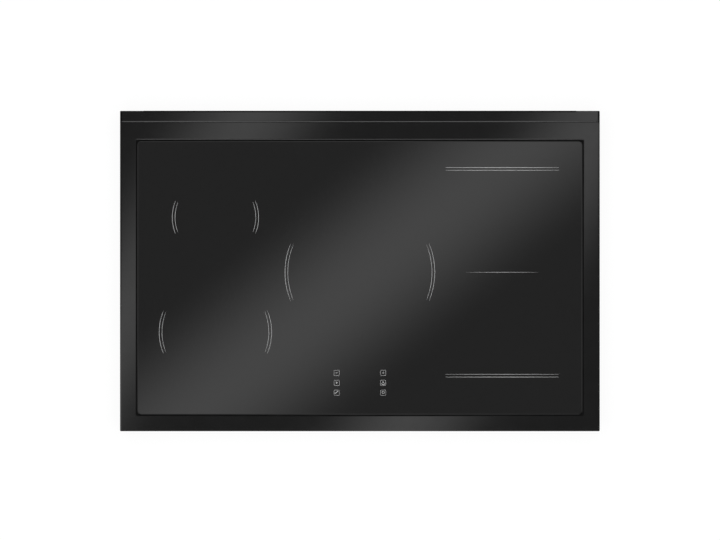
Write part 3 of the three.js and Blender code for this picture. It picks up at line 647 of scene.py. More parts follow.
def make_grille():
    """The outlet grille: a plate with a rounded top edge and a row of rounded slots."""
    radius = (GRILLE_HIGH.y - GRILLE_LOW.y) / 2
    outline = [(GRILLE_LOW.y, GRILLE_LOW.z), (GRILLE_HIGH.y, GRILLE_LOW.z)]
    for angle in half_turn(8):
        y = GRILLE_LOW.y + radius * (1 + math.cos(angle))
        outline.append((y, GRILLE_HIGH.z - radius * (1 - math.sin(angle))))
    plate = profile_along_x(outline, GRILLE_LOW.x, GRILLE_HIGH.x)
    grille = stand_in("rear_vent_grille", "vent_grille", [plate], GRILLE_ENAMEL)
    margin = 2.5 * MM
    span_z = (GRILLE_LOW.z + margin, GRILLE_HIGH.z - margin)
    places = row(40, 2 * (GRILLE_HIGH.x - margin))
    cut_slots(grille, places, 6 * MM, span_z, 2.4 * MM, GRILLE_LOW.y - radius, GRILLE_HIGH.y + radius)


def make_seals():
    """The seal under and round the glass, and the foam between the surround and the worktop."""
    outer = grown(opening_box(), -FIT)
    pocket = grown(plan_box("glass_plate"), FIT)
    bead = grown(outer, -9 * MM)
    bead_corner = 1 * MM
    top = SEAL_HIGH.z
    under = GLASS_LOW.z - FIT
    lip = 0.4 * MM
    rings = [
        rounded_ring(outer, OPENING_CORNER, SEAL_LOW.z),
        rounded_ring(outer, OPENING_CORNER, top - lip),
        rounded_ring(grown(outer, -lip), OPENING_CORNER, top),
        rounded_ring(grown(outer, -3 * lip), OPENING_CORNER, top - lip),
        rounded_ring(grown(pocket, lip), GLASS_CORNER - FIT - 0.2 * MM, top),
        rounded_ring(pocket, GLASS_CORNER, top - lip),
        rounded_ring(pocket, GLASS_CORNER, under),
        rounded_ring(bead, bead_corner, under),
        rounded_ring(bead, bead_corner, SEAL_LOW.z),
    ]
    stand_in("glass_seal", "glass_gap_seal", [loft(rings, closed=True)], SILICONE)
    foam_box = plan_box("worktop_seal")
    edge = 0.8 * MM
    width = 11 * MM
    profile = (
        (0, FOAM_HIGH.z), (0, FOAM_LOW.z + edge), (edge * 0.3, FOAM_LOW.z + edge * 0.3), (edge, FOAM_LOW.z),
        (width - edge, FOAM_LOW.z), (width, FOAM_LOW.z + edge), (width, FOAM_HIGH.z),
    )
    rings = [rounded_ring(grown(foam_box, -inset), 2 * MM, height) for inset, height in profile]
    stand_in("worktop_seal", "worktop_foam", [loft(rings, closed=True)], FOAM)


def make_glass():
    """The glass plate, with a flat bevel round its face."""
    box = plan_box("glass_plate")
    bevel = 1.3 * MM
    drop = 0.8 * MM
    heights = (
        (drop, GLASS_LOW.z),
        (0, GLASS_LOW.z + drop),
        (0, GLASS_HIGH.z - drop),
        (bevel, GLASS_HIGH.z),
        (bevel + HOLD, GLASS_HIGH.z),
    )
    rings = [rounded_ring(grown(box, -inset), GLASS_CORNER - inset, height, 10) for inset, height in heights]
    return stand_in(
        "glass_plate", "glass_panel", [loft(rings)], BLACK_GLASS, sharp_degrees=20
    )


# Printed marks.

def spread(steps):
    """Even steps from -1 to 1."""
    return [2 * step / steps - 1 for step in range(steps + 1)]


def print_strip(one_side, other_side):
    """A thin printed strip between two equally long lists of (x, y) points."""
    return loft([
        [(*one, PRINT_LOW), (*other, PRINT_LOW), (*other, PRINT_HIGH), (*one, PRINT_HIGH)]
        for one, other in zip(one_side, other_side)
    ])


def tapered_arc(x, y, radius, middle_angle, width):
    """A printed arc, widest in the middle, its ends tapering."""
    sides = []
    for way in (1, -1):
        side = []
        for part in spread(48):
            angle = middle_angle + part * ARC_HALF_ANGLE
            reach = radius + way * width / 2 * (0.3 + 0.7 * (1 - part ** 4))
            side.append(polar(x, y, reach, angle))
        sides.append(side)
    return print_strip(*sides)


def tapered_line(x, y, half_length, width, end_share):
    """A printed line along X, widest in the middle."""
    sides = []
    for way in (1, -1):
        side = []
        for part in spread(32):
            half = width / 2 * (end_share + (1 - end_share) * (1 - part ** 2))
            side.append((x + part * half_length, y + way * half))
        sides.append(side)
    return print_strip(*sides)


def bar(start, end, width):
    """A printed straight stroke between two points."""
    along = (end - start).normalized() * (width / 2)
    across = Vector((-along.y, along.x))
    return print_strip(*[(start + way * across, end + way * across) for way in (1, -1)])


def coil_centre(name):
    """The middle of a coil, from the sensor in it."""
    low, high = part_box(f"temperature_sensor_{name}")
    return (low.x + high.x) / 2, (low.y + high.y) / 2


def make_zone_marks():
    """Pairs of arcs at the left and right of each round zone, the two at the left in one line."""
    left_x, _ = coil_centre("front_left")
    for name, radii in ZONE_MARKS.items():
        x, y = coil_centre(name)
        x = left_x if name == "rear_left" else x
        arcs = [
            tapered_arc(x, y, radius, side, STROKE * share)
            for side in (0, math.pi)
            for radius, share in zip(radii, ARC_SHARES)
        ]
        add_parts(f"zone_marks_{name}", arcs, PRINT_INK)


def make_flex_marks():
    """The double lines at both ends of the long zone and the single line in its middle."""
    places = [coil_centre(name) for name in FLEX_COILS]
    x = sum(place[0] for place in places) / len(places)
    y = sum(place[1] for place in places) / len(places)
    lines = [
        tapered_line(x, y + side * distance, FLEX_LINE_HALF, STROKE * share, 0.45)
        for side, shares in FLEX_SHARES.items()
        for distance, share in zip(FLEX_LINES, shares)
    ]
    lines.append(tapered_line(x, y, FLEX_MIDDLE_HALF, STROKE * FLEX_MIDDLE_SHARE, 0.08))
    add_parts("zone_marks_flex", lines, PRINT_INK)


def key_square(x, y):
    """The printed outline of one key."""
    box = (x - KEY_HALF, x + KEY_HALF, y - KEY_HALF, y + KEY_HALF)
    inner = grown(box, -KEY_STROKE)
    inner_corner = KEY_CORNER - KEY_STROKE
    rings = [
        rounded_ring(box, KEY_CORNER, PRINT_LOW),
        rounded_ring(box, KEY_CORNER, PRINT_HIGH),
        rounded_ring(inner, inner_corner, PRINT_HIGH),
        rounded_ring(inner, inner_corner, PRINT_LOW),
    ]
    return loft(rings, closed=True)


def clock_face(radius, rise):
    """The strokes of a ring a little above a key's middle, in millimetres."""
    corners = [polar(0, rise, radius, turn) for turn in full_turn(16)]
    return [(*start, *end) for start, end in zip(corners, corners[1:] + corners[:1])]


# The strokes of each sign, as (x, y, x, y) in millimetres from the middle of its key.
KEY_SIGNS = {
    "minus": [(-1.7, 0.3, 1.5, 0.3), (-0.8, -0.2, 0.6, -0.2)],
    "play": [(-0.7, -1.9, -0.7, 2.3), (0.3, -1.1, 0.3, 1.6), (1.2, -0.3, 1.2, 0.9)],
    "wipe": [(-3.3, -1.6, 2.7, 3.2)],
    "plus": [(-1.8, 0.2, 1.8, 0.2), (-1.4, 0.8, 1.4, 0.8), (0, -1.6, 0, 2.2)],
    "lock": [(-2.6, -3, 2.8, -3), (-2.5, -3, -2.5, -0.8), (2.7, -3, 2.7, -0.8),
             (-0.5, 0.2, -0.5, 2.6), (0.8, 0.2, 0.8, 2.6)],
    "timer": clock_face(2.2, 0.6) + [(-0.6, 2.6, 0.9, 2.6), (-0.6, -1.3, 0.9, -1.3)],
}
KEY_LAYOUT = {-KEY_X: ("minus", "play", "wipe"), KEY_X: ("plus", "lock", "timer")}


def make_keys():
    """The six touch keys, each with its sign."""
    for x, names in KEY_LAYOUT.items():
        for y, name in zip(KEY_Y, names):
            middle = Vector((x, y))
            sign = [
                bar(middle + Vector(ends[:2]) * MM, middle + Vector(ends[2:]) * MM, SIGN_STROKE)
                for ends in KEY_SIGNS[name]
            ]
            add_parts(f"touch_key_{name}", [key_square(x, y)] + sign, PRINT_INK)


# Casing details. Turned outlines are (radius, height) points in millimetres.

PAN_HEAD_SHARES = ((0, 0), (1, 0), (1, 0.35), (0.8, 0.8), (0.45, 1), (0.4, 0.55), (0, 0.45))
CLAMP_BOSS = (
    (3.4, 0), (6.4, 0), (7, 0.6), (7, 3), (6.2, 4), (6.2, 8), (7, 9), (7, 11.5), (6.5, 12), (3.4, 12),
)
GLAND_DOME = ((6.9, -8), (11.4, -8), (11.9, -7.4), (11.9, -4), (10.6, -1.4), (8.6, 0), (7.1, 0), (6.9, -0.6))
GLAND_SLEEVE = ((5.5, -5), (6.8, -5), (6.8, -0.8), (6.3, -0.5), (5.5, -1.4))
GLAND_NUTS = ((11.5, 0.8, 3.3), (13, 10.4, 15))
RIB_LOW = 9 * MM
RIB_HIGH = 42 * MM
RIB_WIDTH = 7 * MM
RIB_RISE = 1.1 * MM
RIB_SINK = 0.1 * MM
PAN_SCREW_RADIUS = 3.4 * MM
PAN_SCREW_Z = 50 * MM


def in_metres(outline):
    """An outline in millimetres, in metres."""
    return [(radius * MM, height * MM) for radius, height in outline]


def pan_head(centre, radius, axis="Z", way=1):
    """A pan-head screw: a domed head with a round recess, its top facing along way."""
    height = way * radius * 0.62
    return turned(centre, [(radius * across, height * up) for across, up in PAN_HEAD_SHARES], 16, axis)


def nut(centre, bore, radius, low, high, chamfer, axis="Z"):
    """A hexagon nut from low to high along its axis, its corners taken off by chamfer (across, along)."""
    across, along = chamfer
    outline = [
        (bore, low), (radius - across, low), (radius, low + along),
        (radius, high - along), (radius - across, high), (bore, high),
    ]
    return turned(centre, outline, 6, axis)


def thread(crest, root, start, length, turns):
    """The outline of a thread, as (radius, height) points."""
    outline = []
    for turn in range(turns):
        z = start + length * turn / turns
        outline += [(crest, z), (root, z + 0.4 * MM)]
    return outline


def pressed_rib(x, y, out):
    """A pressed rib on an upright wall: a half-round bar with run-out ends."""
    outward = Vector(out)
    side = Vector((0, 0, 1)).cross(outward)
    rings = []
    for part in spread(12):
        rise = min(1, math.cos(math.pi / 2 * part) * 3) ** 0.5
        middle = Vector((x, y, (RIB_LOW + RIB_HIGH + part * (RIB_HIGH - RIB_LOW)) / 2))
        half = RIB_WIDTH / 2 * (0.4 + 0.6 * rise)
        rings.append([
            middle + side * half * math.cos(turn) + outward * (RIB_RISE * rise * math.sin(turn) - RIB_SINK)
            for turn in half_turn(8)
        ])
    return loft(rings)


def make_pan_details():
    """Stiffening ribs and the screws that hold the casing to the surround."""
    depth = 400 * MM
    width = 740 * MM
    shift = 12 * MM
    gland_side = (50 * MM, 130 * MM)
    ribs = []
    screws = []
    for side in (-1, 1):
        x = PAN_HIGH.x * side
        ribs += [pressed_rib(x, y - shift, (side, 0, 0)) for y in row(7, depth)]
        screws += [
            pan_head((x, y - shift, PAN_SCREW_Z), PAN_SCREW_RADIUS, "X", side) for y in row(4, depth)
        ]
    for x in row(12, width):
        ribs.append(pressed_rib(x, PAN_LOW.y, (0, -1, 0)))
        if not gland_side[0] < x < gland_side[1]:
            ribs.append(pressed_rib(x, PAN_HIGH.y, (0, 1, 0)))
    screws += [pan_head((x, PAN_LOW.y, PAN_SCREW_Z), PAN_SCREW_RADIUS, "Y", -1) for x in row(6, width)]
    add_parts("pan_ribs", ribs, GALVANISED)
    add_parts("pan_screws", screws, ZINC)


def between(x, half, one_y, other_y):
    """A plan box round x, from one place along Y to another."""
    return x - half, x + half, min(one_y, other_y), max(one_y, other_y)


def make_clamp(row_name, side_name):
    """A swing clamp: a pressed arm on a turned boss, with a toothed tip."""
    low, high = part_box(f"worktop_clamp_{row_name}_{side_name}")
    way = 1 if row_name == "rear" else -1
    x = (low.x + high.x) / 2
    y = (low.y if way > 0 else high.y) + way * 7 * MM
    boss_high = low.z + 12 * MM
    near = y + way * 5.5 * MM
    far = y + way * 28 * MM
    half = 6 * MM
    parts = [
        turned((x, y, low.z), in_metres(CLAMP_BOSS), 32),
        soft_block(between(x, half, near, far), boss_high - 2.2 * MM, boss_high, 0.4 * MM, 2 * MM),
    ]
    for edge in (-1, 1):
        flange_x = x + edge * (half - 0.8 * MM)
        flange = between(flange_x, 0.8 * MM, near + way * 2 * MM, far - way * 2 * MM)
        parts.append(soft_block(flange, boss_high - 3 * MM, boss_high - 0.4 * MM, 0.3 * MM, 0.5 * MM))
    tip = between(x, half, far, far - way * 3.4 * MM)
    parts.append(soft_block(tip, boss_high - 2 * MM, high.z - 1 * MM, 0.3 * MM, 1 * MM))
    size = 1.3 * MM
    for place in row(4, 2 * half - 1 * MM):
        tooth = ((place - size, -size), (place + size, -size), (place, 0))
        parts.append(loft([[(x + across, end, high.z + up) for across, up in tooth] for end in tip[2:]]))
    stand_in(
        f"worktop_clamp_{row_name}_{side_name}", f"swing_clamp_{row_name}_{side_name}", parts,
        ZINC, f"clamp_{row_name}_{side_name}",
    )
    make_clamp_screw(f"clamp_screw_{row_name}_{side_name}", x, y, boss_high)


def make_clamp_screw(name, x, y, low):
    """The threaded rod of a clamp, with its nut on the boss."""
    core = 2.7 * MM
    root = 3.02 * MM
    top = 30 * MM
    winding = thread(3.25 * MM, root, low + 0.6 * MM, top - low - 1 * MM, 18)
    rod = [(core, low + 0.4 * MM), *winding, (root, top), (core, top)]
    chamfer = (0.672 * MM, 0.6 * MM)
    rod_nut = nut((x, y, low), 0, 5.6 * MM, 0.5 * MM, 4.5 * MM, chamfer)
    add_parts(name, [turned((x, y, 0), rod, 20), rod_nut], ZINC)


def make_gland():
    """The cable gland: threaded barrel, lock nut inside, body nut and ribbed dome nut outside."""
    low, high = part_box("cable_gland")
    middle = (low + high) / 2
    inner_end = (middle.x, low.y, middle.z)
    outer_end = (middle.x, high.y, middle.z)
    bore = 6.5 * MM
    crest = 9 * MM
    end = high.y - low.y - 3 * MM
    winding = thread(crest, crest - 0.4 * MM, 0.4 * MM, 9.4 * MM, 12)
    barrel = [(bore, 0), (crest, 0), *winding, (crest, 10 * MM), (crest, end), (bore, end)]
    parts = [turned(inner_end, barrel, 40, "Y"), turned(outer_end, in_metres(GLAND_DOME), 40, "Y")]
    chamfer = (0.5 * MM, 0.5 * MM)
    for radius, start, stop in GLAND_NUTS:
        parts.append(nut(inner_end, 8.8 * MM, radius * MM, start * MM, stop * MM, chamfer, "Y"))
    for turn in full_turn(18):
        x, z = polar(middle.x, middle.z, 11.8 * MM, turn)
        parts.append(tube([(x, high.y - 7.4 * MM, z), (x, high.y - 4.2 * MM, z)], 0.6 * MM, 8))
    stand_in("cable_gland", "gland_body", parts, DARK_PLASTIC)
    sleeve = turned(outer_end, in_metres(GLAND_SLEEVE), 40, "Y")
    add_parts("gland_sleeve", [sleeve], SILICONE)


# Inside. Places and sizes of components are in millimetres.

BOARD_GAP = 0.05 * MM
POWER_OUTER_X = 374 * MM
POWER_INNER_X = 222 * MM
TOUCH_CHIPS = ((0, -205, 14, 14), (-20, -230, 8, 6), (20, -230, 8, 6), (70, -200, 10, 8), (-70, -200, 10, 8))
MAINS_COLOURS = (WIRE_BROWN, WIRE_BLACK, WIRE_GREY, WIRE_BLUE)


def make_tray_springs():
    """Bowed leaf springs, one on each rail under each tray."""
    foot = 8 * MM
    sheet = 0.8 * MM
    travel = max(next(joint for joint in frame["joints"] if joint["name"] == "tray_left_float")["range_m"])
    for tray in TRAYS:
        for rail in ROWS:
            low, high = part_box(f"tray_spring_{tray}_{rail}")
            middle = (low + high) / 2
            half_length = (high.x - low.x) / 2
            rings = []
            for along in spread(48):
                bowed = max(0, 1 - abs(along) * half_length / (half_length - foot))
                z = low.z + (high.z - low.z - sheet) * (1 - math.cos(math.pi * bowed)) / 2
                half_width = (high.y - middle.y) * (1 - along ** 24 * 0.6)
                x = middle.x + along * half_length
                corners = ((-1, 0), (1, 0), (1, sheet), (-1, sheet))
                rings.append([(x, middle.y + side * half_width, z + rise) for side, rise in corners])
            spring = stand_in(
                f"tray_spring_{tray}_{rail}", f"leaf_spring_{tray}_{rail}", [loft(rings)],
                SPRING_STEEL,
            )
            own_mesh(spring)


def spiral_points(box, corner, turns, pitch, z):
    """The middle line of a flat winding that runs inward from a rounded outline."""
    steps = 9
    count = 4 * (steps + 1)
    points = []
    for index in range(turns * count):
        shape = grown(box, -pitch * index / count)
        half = min(shape[1] - shape[0], shape[3] - shape[2]) / 2
        radius = min(corner, half) if corner else half
        point = Vector(rounded_ring(shape, radius, z, steps)[index % count])
        if not points or (point - points[-1]).length > 0.6 * MM:
            points.append(point)
    return points


def make_windings():
    """Flat litz spirals, one for each coil."""
    for name in COILS:
        node = f"coil_winding_{name}"
        low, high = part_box(node)
        strand = (high.z - low.z) / 2
        pitch = 2.04 * strand
        if name in ROUND_COILS:
            band = (high.x - low.x) / 2 - 24 * MM
            corner = None
        else:
            band = 70 * MM
            corner = 21 * MM
        turns = int((band - strand) / pitch)
        path = spiral_points(grown(plan_box(node), -strand), corner, turns, pitch, (low.z + high.z) / 2)
        tray = name.split("_")[-1]
        wire = tube(path, strand * 0.99, 8)
        stand_in(node, f"litz_spiral_{name}", [wire], LITZ, f"tray_{tray}")


def can(x, y, low, radius, height):
    """An upright electrolytic capacitor with a groove near its foot and a rolled top edge."""
    groove = height * 0.14
    outline = [
        (0, 0), (radius * 0.96, 0), (radius, 0.4 * MM),
        (radius, groove), (radius * 0.92, groove + 0.5 * MM), (radius, groove + 1 * MM),
        (radius, height - 0.6 * MM), (radius * 0.9, height),
        (radius * 0.7, height - 0.3 * MM), (0, height - 0.3 * MM),
    ]
    return turned((x, y, low), outline, 28)


def brick(x, y, low, size, edge):
    """A rounded component body of a (width, depth, height) size in millimetres."""
    width, depth, height = (value * MM for value in size)
    box = (x - width / 2, x + width / 2, y - depth / 2, y + depth / 2)
    return soft_block(box, low, low + height, edge * MM, edge * 1.5 * MM)


def bricks(places, low, size, edge=0.6):
    """Equal component bodies at several (x, y) places."""
    return [brick(x, y * MM, low, size, edge) for x, y in places]


def toroid(x, y, low, radius, thickness, turns):
    """A ring core and the wire wound round it, as two parts."""
    z = low + thickness
    sides = 14
    wire_radius = 0.7 * MM
    ring = [polar(radius, z, thickness, turn) for turn in full_turn(16)]
    path = []
    for step in range(turns * sides + 1):
        around = 2 * math.pi * 0.94 * step / (turns * sides)
        small = 2 * math.pi * step / sides
        reach = radius + (thickness + wire_radius) * math.cos(small)
        height = z + thickness * math.sin(small) * 1.12
        path.append((*polar(x, y, reach, around), height))
    return turned((x, y, 0), ring, 40), tube(path, wire_radius, 6)


def deck_of(board):
    """The height on which the components of a board stand."""
    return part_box(board)[1].z + BOARD_GAP


def make_board_screws():
    """A screw in each corner of every board."""
    screws = []
    for name in BOARDS:
        left, right, front, rear = grown(plan_box(name), -7 * MM)
        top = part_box(name)[1].z
        screws += [pan_head((x, y, top), 3 * MM) for x in (left, right) for y in (front, rear)]
    add_parts("board_screws", screws, ZINC)


def transistor_rows(side_name, deck):
    """Transistors and their tinned tabs and legs, in rows along both sides of the heatsink."""
    low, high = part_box(f"heatsink_{side_name}")
    bodies = []
    metal = []
    for x in (low.x - 3.2 * MM, high.x + 3.2 * MM):
        for place in row(5, 220 * MM):
            y = place - 55 * MM
            bodies.append(brick(x, y, deck + 4 * MM, (4.6, 15.6, 15), 0.4))
            metal.append(brick(x, y, deck + 18 * MM, (2, 15, 3), 0.3))
            for leg in (y - 5 * MM, y, y + 5 * MM):
                metal.append(tube([(x, leg, deck), (x, leg, deck + 5 * MM)], 0.5 * MM, 6))
    return bodies, metal


def make_power_boards():
    """Parts of the two power boards: capacitors, transistors clamped to the heatsink, chokes and plugs."""
    for side_name, side in zip(SIDES, (-1, 1)):
        deck = deck_of(f"power_board_{side_name}")
        outer = side * POWER_OUTER_X
        inner = side * POWER_INNER_X
        cans = [can(outer, y * MM, deck, 9 * MM, 21 * MM) for y in (-150, -126, 10, 34)]
        cans += [can(inner, y * MM, deck, 5 * MM, 14 * MM) for y in (-188, -174)]
        films = bricks([(inner, y) for y in (-140, -118, -40, -18)], deck, (26, 14, 19))
        films += bricks([(outer, -80)], deck, (20, 30, 20))
        chips = bricks([(inner, 10), (inner, 44)], deck, (14, 20, 3), 0.3)
        transistors, tabs = transistor_rows(side_name, deck)
        core, wire = toroid(outer, -30 * MM, deck + 1 * MM, 11 * MM, 4.5 * MM, 22)
        plugs = bricks([(inner, 72), (inner, -76)], deck, (10, 24, 11))
        plugs += bricks([(outer, 66), (outer, -185)], deck, (12, 18, 12))
        add_parts(f"capacitors_{side_name}", cans, CAPACITOR_SLEEVE)
        add_parts(f"film_capacitors_{side_name}", films, FILM_CASE)
        add_parts(f"chips_{side_name}", chips + transistors, CHIP_EPOXY)
        add_parts(f"transistor_tabs_{side_name}", tabs, TINNED)
        add_parts(f"choke_core_{side_name}", [core], FERRITE)
        add_parts(f"choke_wire_{side_name}", [wire], LITZ)
        add_parts(f"power_plugs_{side_name}", plugs, PALE_PLASTIC)


def make_filter_board():
    """Parts of the filter board: choke, film capacitors, relays, varistors and plugs."""
    deck = deck_of("filter_board")
    core, wire = toroid(-62 * MM, 86 * MM, deck + 1 * MM, 15 * MM, 6.5 * MM, 26)
    films = bricks([(x * MM, 84) for x in (-18, 4)], deck, (14, 30, 22))
    relays = bricks([(x * MM, 70) for x in (42, 62)], deck, (15, 28, 16))
    disc = in_metres([(0, -2), (6, -2), (6.6, 0), (6, 2), (0, 2)])
    discs = [turned((x * MM, 108 * MM, deck + 8 * MM), disc, 24, "Y") for x in (40, 58, 76)]
    plugs = bricks([(x * MM, 125) for x in (-40, -16, 8)], deck, (16, 11, 12))
    plugs += bricks([(x * MM, 48) for x in (-60, 0)], deck, (22, 10, 11))
    add_parts("filter_core", [core], FERRITE)
    add_parts("filter_wire", [wire], LITZ)
    add_parts("filter_film_capacitors", films, FILM_CASE)
    add_parts("filter_relays", relays, CHIP_EPOXY)
    add_parts("filter_varistors", discs, WIRE_BLUE)
    add_parts("filter_plugs", plugs, PALE_PLASTIC)


def touch_spring(x, y, low, high):
    """A coil spring that reaches from the touch board to the glass under one key."""
    radius = 3.4 * MM
    turns = 5
    steps = 120
    path = []
    for step in range(steps + 1):
        angle = 2 * math.pi * turns * step / steps
        z = low + (high - low) * step / steps
        path.append((*polar(x, y, radius, angle), z))
    return tube(path, 0.18 * MM, 6)


def make_control_parts():
    """Chips on the touch board and the springs under the keys."""
    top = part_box("control_board")[1].z
    gap = 0.25 * MM
    springs = [touch_spring(x, y, top + gap, GLASS_LOW.z - 0.3 * MM) for x in KEY_LAYOUT for y in KEY_Y]
    chips = [brick(x * MM, y * MM, top, (width, depth, 1.4), 0.2) for x, y, width, depth in TOUCH_CHIPS]
    add_parts("touch_springs", springs, TINNED)
    add_parts("touch_chips", chips, CHIP_EPOXY)


def wire_run(points, radius=1.5 * MM):
    """A wire that passes smoothly through its points, given in millimetres."""
    places = [Vector(point) * MM for point in points]
    padded = [2 * places[0] - places[1], *places, 2 * places[-1] - places[-2]]
    steps = 8
    path = []
    for a, b, c, d in zip(padded, padded[1:], padded[2:], padded[3:]):
        for step in range(steps):
            t = step / steps
            curve = (2 * a - 5 * b + 4 * c - d) * t ** 2 + (3 * b - a - 3 * c + d) * t ** 3
            path.append(0.5 * (2 * b + (c - a) * t + curve))
    path.append(places[-1])
    return tube(path, radius, 10)


def mains_wire(index, pole):
    """One wire from its pole of the terminal block to the filter board."""
    y = 176 + 5 * index
    plug = -46 + index * 8
    return wire_run([
        (pole, 172, 25), (pole - 2, 166, 25), (pole - 10, 157 + index, 24.5), (40, 160 + 2 * index, 24),
        (35, y - 6, 24), (29, y, 24), (18, 168 + index * 3, 22), (-10, 160 + index * 2, 18),
        (plug, 148, 16), (plug, 131, 17),
    ])


def harness_wire(index, side):
    """One wire from the filter board to the power board on a side."""
    lift = 1.8 * index
    points = [
        (58 - 2 * lift, 44, 20), (92, 36 + lift, 22), (150, 30 + 3.4 * index, 19),
        (200, 50 + 3 * index, 22), (220, 66 + 3.4 * index, 20),
    ]
    return wire_run([(side * x, y, z) for x, y, z in points], 1.4 * MM)


def ribbon_wire(x):
    """One wire of the ribbon from the filter board to the touch board."""
    points = [
        (x, 44, 20), (x * 0.8, 20, 14), (x * 0.8, -60, 8),
        (x * 0.9, -150, 10), (x, -164, 30), (x, -168.5, 45),
    ]
    return wire_run(points, 0.6 * MM)


def make_wiring():
    """Mains wires from the terminal block to the filter board, and the harness to the boards."""
    low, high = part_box("terminal_block")
    poles = [((low.x + high.x) / 2 + offset) / MM for offset in row(5, high.x - low.x)]
    for index, material in enumerate(MAINS_COLOURS):
        add_parts(f"mains_wire_{index + 1}", [mains_wire(index, poles[index])], material)
    for side_name, side in zip(SIDES, (-1, 1)):
        strands = [harness_wire(index, side) for index in range(3)]
        add_parts(f"power_harness_{side_name}", strands, WIRE_BLACK)
    ribbon = [ribbon_wire(-8 + 1.4 * index) for index in range(8)]
    add_parts("control_ribbon", ribbon, WIRE_GREY)
    screws = [pan_head((pole * MM, 185 * MM, 17 * MM), 3 * MM, "Z", -1) for pole in poles]
    add_parts("terminal_screws", screws, BRASS)


# Stage, light and camera.

def plane(name, width, depth, location, turn=0.0, tilt=0.0):
    """A flat card, tilted about X and then turned about Z."""
    half_x = width / 2
    half_y = depth / 2
    corners = [(-half_x, -half_y, 0), (half_x, -half_y, 0), (half_x, half_y, 0), (-half_x, half_y, 0)]
    card = mesh_object(name, corners, [(0, 1, 2, 3)])
    turned_card = Matrix.Rotation(turn, 4, "Z") @ Matrix.Rotation(tilt, 4, "X")
    card.matrix_world = Matrix.Translation(location) @ turned_card
    return card


def make_floor():
    """A pale floor that glows a little, so that the object's shadow on it stays faint."""
    floor = plane("floor", 30, 30, (0, 0, -0.5 * MM))
    material = bpy.data.materials.new("white_floor")
    material.use_nodes = True
    sockets = material.node_tree.nodes["Principled BSDF"].inputs
    sockets["Base Color"].default_value = (0.08, 0.08, 0.08, 1)
    sockets["Emission Color"].default_value = (1, 1, 1, 1)
    sockets["Emission Strength"].default_value = 0.92
    sockets["Roughness"].default_value = 1.0
    sockets["Specular IOR Level"].default_value = 0.0
    floor.data.materials.append(material)
    floor.visible_glossy = False


def maths(tree, operation, *terms):
    """The result of a maths node. Each term is a socket or a number."""
    return add_node(tree, "ShaderNodeMath", dict(enumerate(terms)), operation=operation).outputs["Value"]


def position_part(tree, output, axis):
    """One coordinate of the shaded point."""
    place = tree.nodes.new("ShaderNodeTexCoord").outputs[output]
    return add_node(tree, "ShaderNodeSeparateXYZ", {"Vector": place}).outputs[axis]


def emission_material(name, strength, half_width=None):
    """Soft light. With a half width, it fades to nothing across X as a smooth bell."""
    material = bpy.data.materials.new(name)
    material.use_nodes = True
    tree = material.node_tree
    tree.nodes.clear()
    output = tree.nodes.new("ShaderNodeOutputMaterial")
    light = add_node(tree, "ShaderNodeEmission", {"Strength": strength})
    shown = light.outputs["Emission"]
    if half_width:
        across = maths(tree, "MULTIPLY", position_part(tree, "Object", "X"), math.pi / 2 / half_width)
        wave = maths(tree, "COSINE", across)
        bell = maths(tree, "MULTIPLY", wave, wave)
        tree.links.new(maths(tree, "MULTIPLY", bell, strength), light.inputs["Strength"])
        clear = tree.nodes.new("ShaderNodeBsdfTransparent").outputs["BSDF"]
        shown = add_node(tree, "ShaderNodeAddShader", {0: shown, 1: clear}).outputs["Shader"]
    tree.links.new(shown, output.inputs["Surface"])
    return material


def gloss_card(card, material, receivers=None):
    """A soft box that only shows as gloss on the object."""
    card.data.materials.append(material)
    card.visible_camera = False
    card.visible_diffuse = False
    card.visible_transmission = False
    card.visible_shadow = False
    if receivers:
        group = bpy.data.collections.new(f"lit_by_{card.name}")
        for piece in receivers:
            group.objects.link(piece)
        card.light_linking.receiver_collection = group


def strip_card(name, receivers, direction, offset, height, half_width, strength):
    """A long soft strip over the object. offset is its distance from the origin across its length."""
    angle = math.radians(direction)
    centre = (offset * math.sin(angle), -offset * math.cos(angle), height)
    card = plane(name, 2 * half_width, 4, centre, turn=angle - math.pi / 2)
    gloss_card(card, emission_material(f"{name}_light", strength, half_width), receivers)


def overhead_light():
    """A large, even light from straight above."""
    data = bpy.data.lights.new("overhead", "AREA")
    data.shape = "SQUARE"
    data.size = 3.0
    data.energy = 120
    light = bpy.data.objects.new("overhead", data)
    light.location = (0, 0, 2.6)
    light.visible_glossy = False
    light.visible_camera = False
    bpy.context.scene.collection.objects.link(light)


def make_soft_boxes(glass_piece):
    """Cards that show in the gloss: above, in front, below for the casing, and round the glass."""
    ceiling = plane("ceiling_card", 1.35, 1.05, (0, 0, 1.2))
    gloss_card(ceiling, emission_material("ceiling_light", 0.265))
    front = plane("front_card", 1.4, 1.5, (0, -1.7, 1.6), tilt=math.pi / 2)
    meshes = [piece for piece in bpy.context.scene.objects if piece.type == "MESH"]
    gloss_card(
        front, emission_material("front_light", 3.3), [piece for piece in meshes if piece is not glass_piece]
    )
    casing_names = ("base_pan", "pan_", "clamp", "swing_clamp", "gland", "vent_grille")
    casing_pieces = [piece for piece in meshes if piece.name.startswith(casing_names)]
    gloss_card(plane("floor_glow", 4, 4, (0, 0, -0.01)), emission_material("floor_glow", 0.6), casing_pieces)
    edge_glow = emission_material("edge_glow", 0.7, half_width=1.2)
    for index, around in enumerate(full_turn(4)):
        spot = (2 * math.sin(around), -2 * math.cos(around), 1.1)
        card = plane(f"edge_card_{index + 1}", 2.4, 0.8, spot, around, math.pi / 2)
        gloss_card(card, edge_glow, [glass_piece])


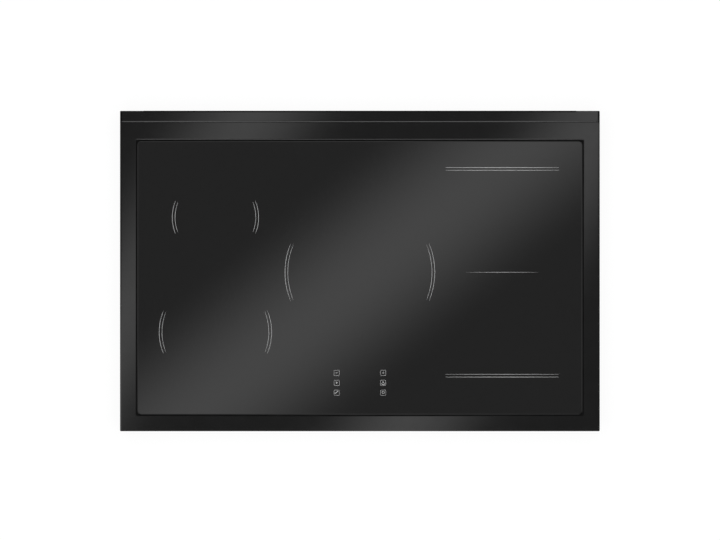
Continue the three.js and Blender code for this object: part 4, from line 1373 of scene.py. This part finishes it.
def make_streaks(glass_piece, metal_pieces):
    """The slanting streaks on the glass and on the steel round it."""
    glass = ([glass_piece], 39.6)
    metal = (metal_pieces, 57.5)
    strip_card("glass_strip", *glass, offset=0.0112, height=0.6, half_width=0.2, strength=1.0)
    strip_card("glass_strip_rear", *glass, offset=-2.56, height=1.2, half_width=0.45, strength=0.5)
    strip_card("glass_strip_front", *glass, offset=2.23, height=0.6, half_width=0.4, strength=0.25)
    strip_card("metal_strip_left", *metal, offset=-0.327, height=0.64, half_width=0.155, strength=1.2)
    strip_card("metal_strip_right", *metal, offset=0.225, height=0.68, half_width=0.155, strength=1.25)


def make_world():
    """A dark studio with a pale band at the horizon; the camera sees white."""
    world = bpy.data.worlds.new("studio")
    bpy.context.scene.world = world
    world.use_nodes = True
    tree = world.node_tree
    upward = position_part(tree, "Generated", "Z")
    height = add_node(tree, "ShaderNodeMapRange", {"Value": upward, "From Min": -1, "From Max": 1})
    stops = [(place, grey(value)) for place, value in WORLD_TONES]
    mix = add_node(tree, "ShaderNodeMix", {}, data_type="RGBA")
    sockets = {socket.identifier: socket for socket in (*mix.inputs, *mix.outputs)}
    sockets["B_Color"].default_value = (1, 1, 1, 1)
    seen = tree.nodes.new("ShaderNodeLightPath").outputs["Is Camera Ray"]
    tree.links.new(seen, sockets["Factor_Float"])
    tree.links.new(colour_ramp(tree, height.outputs["Result"], stops), sockets["A_Color"])
    tree.links.new(sockets["Result_Color"], tree.nodes["Background"].inputs["Color"])
    bpy.context.scene.view_settings.view_transform = "Standard"


def make_camera():
    """Straight down, with parallel lines, framed as in the photograph."""
    data = bpy.data.cameras.new("camera")
    data.type = "ORTHO"
    data.ortho_scale = 1.348
    camera = bpy.data.objects.new("camera", data)
    camera.location = (0.2 * MM, 1.8 * MM, 2.5)
    bpy.context.scene.collection.objects.link(camera)
    bpy.context.scene.camera = camera


finish_cad_nodes()
surround = make_surround()
ledge = make_ledge()
make_grille()
glass = make_glass()
make_seals()
make_zone_marks()
make_flex_marks()
make_keys()
make_pan_details()
for clamp_row in ROWS:
    for clamp_side in SIDES:
        make_clamp(clamp_row, clamp_side)
make_gland()
make_tray_springs()
make_windings()
make_board_screws()
make_power_boards()
make_filter_board()
make_control_parts()
make_wiring()
make_floor()
make_world()
overhead_light()
make_soft_boxes(glass)
make_streaks(glass, [surround, ledge])
make_camera()
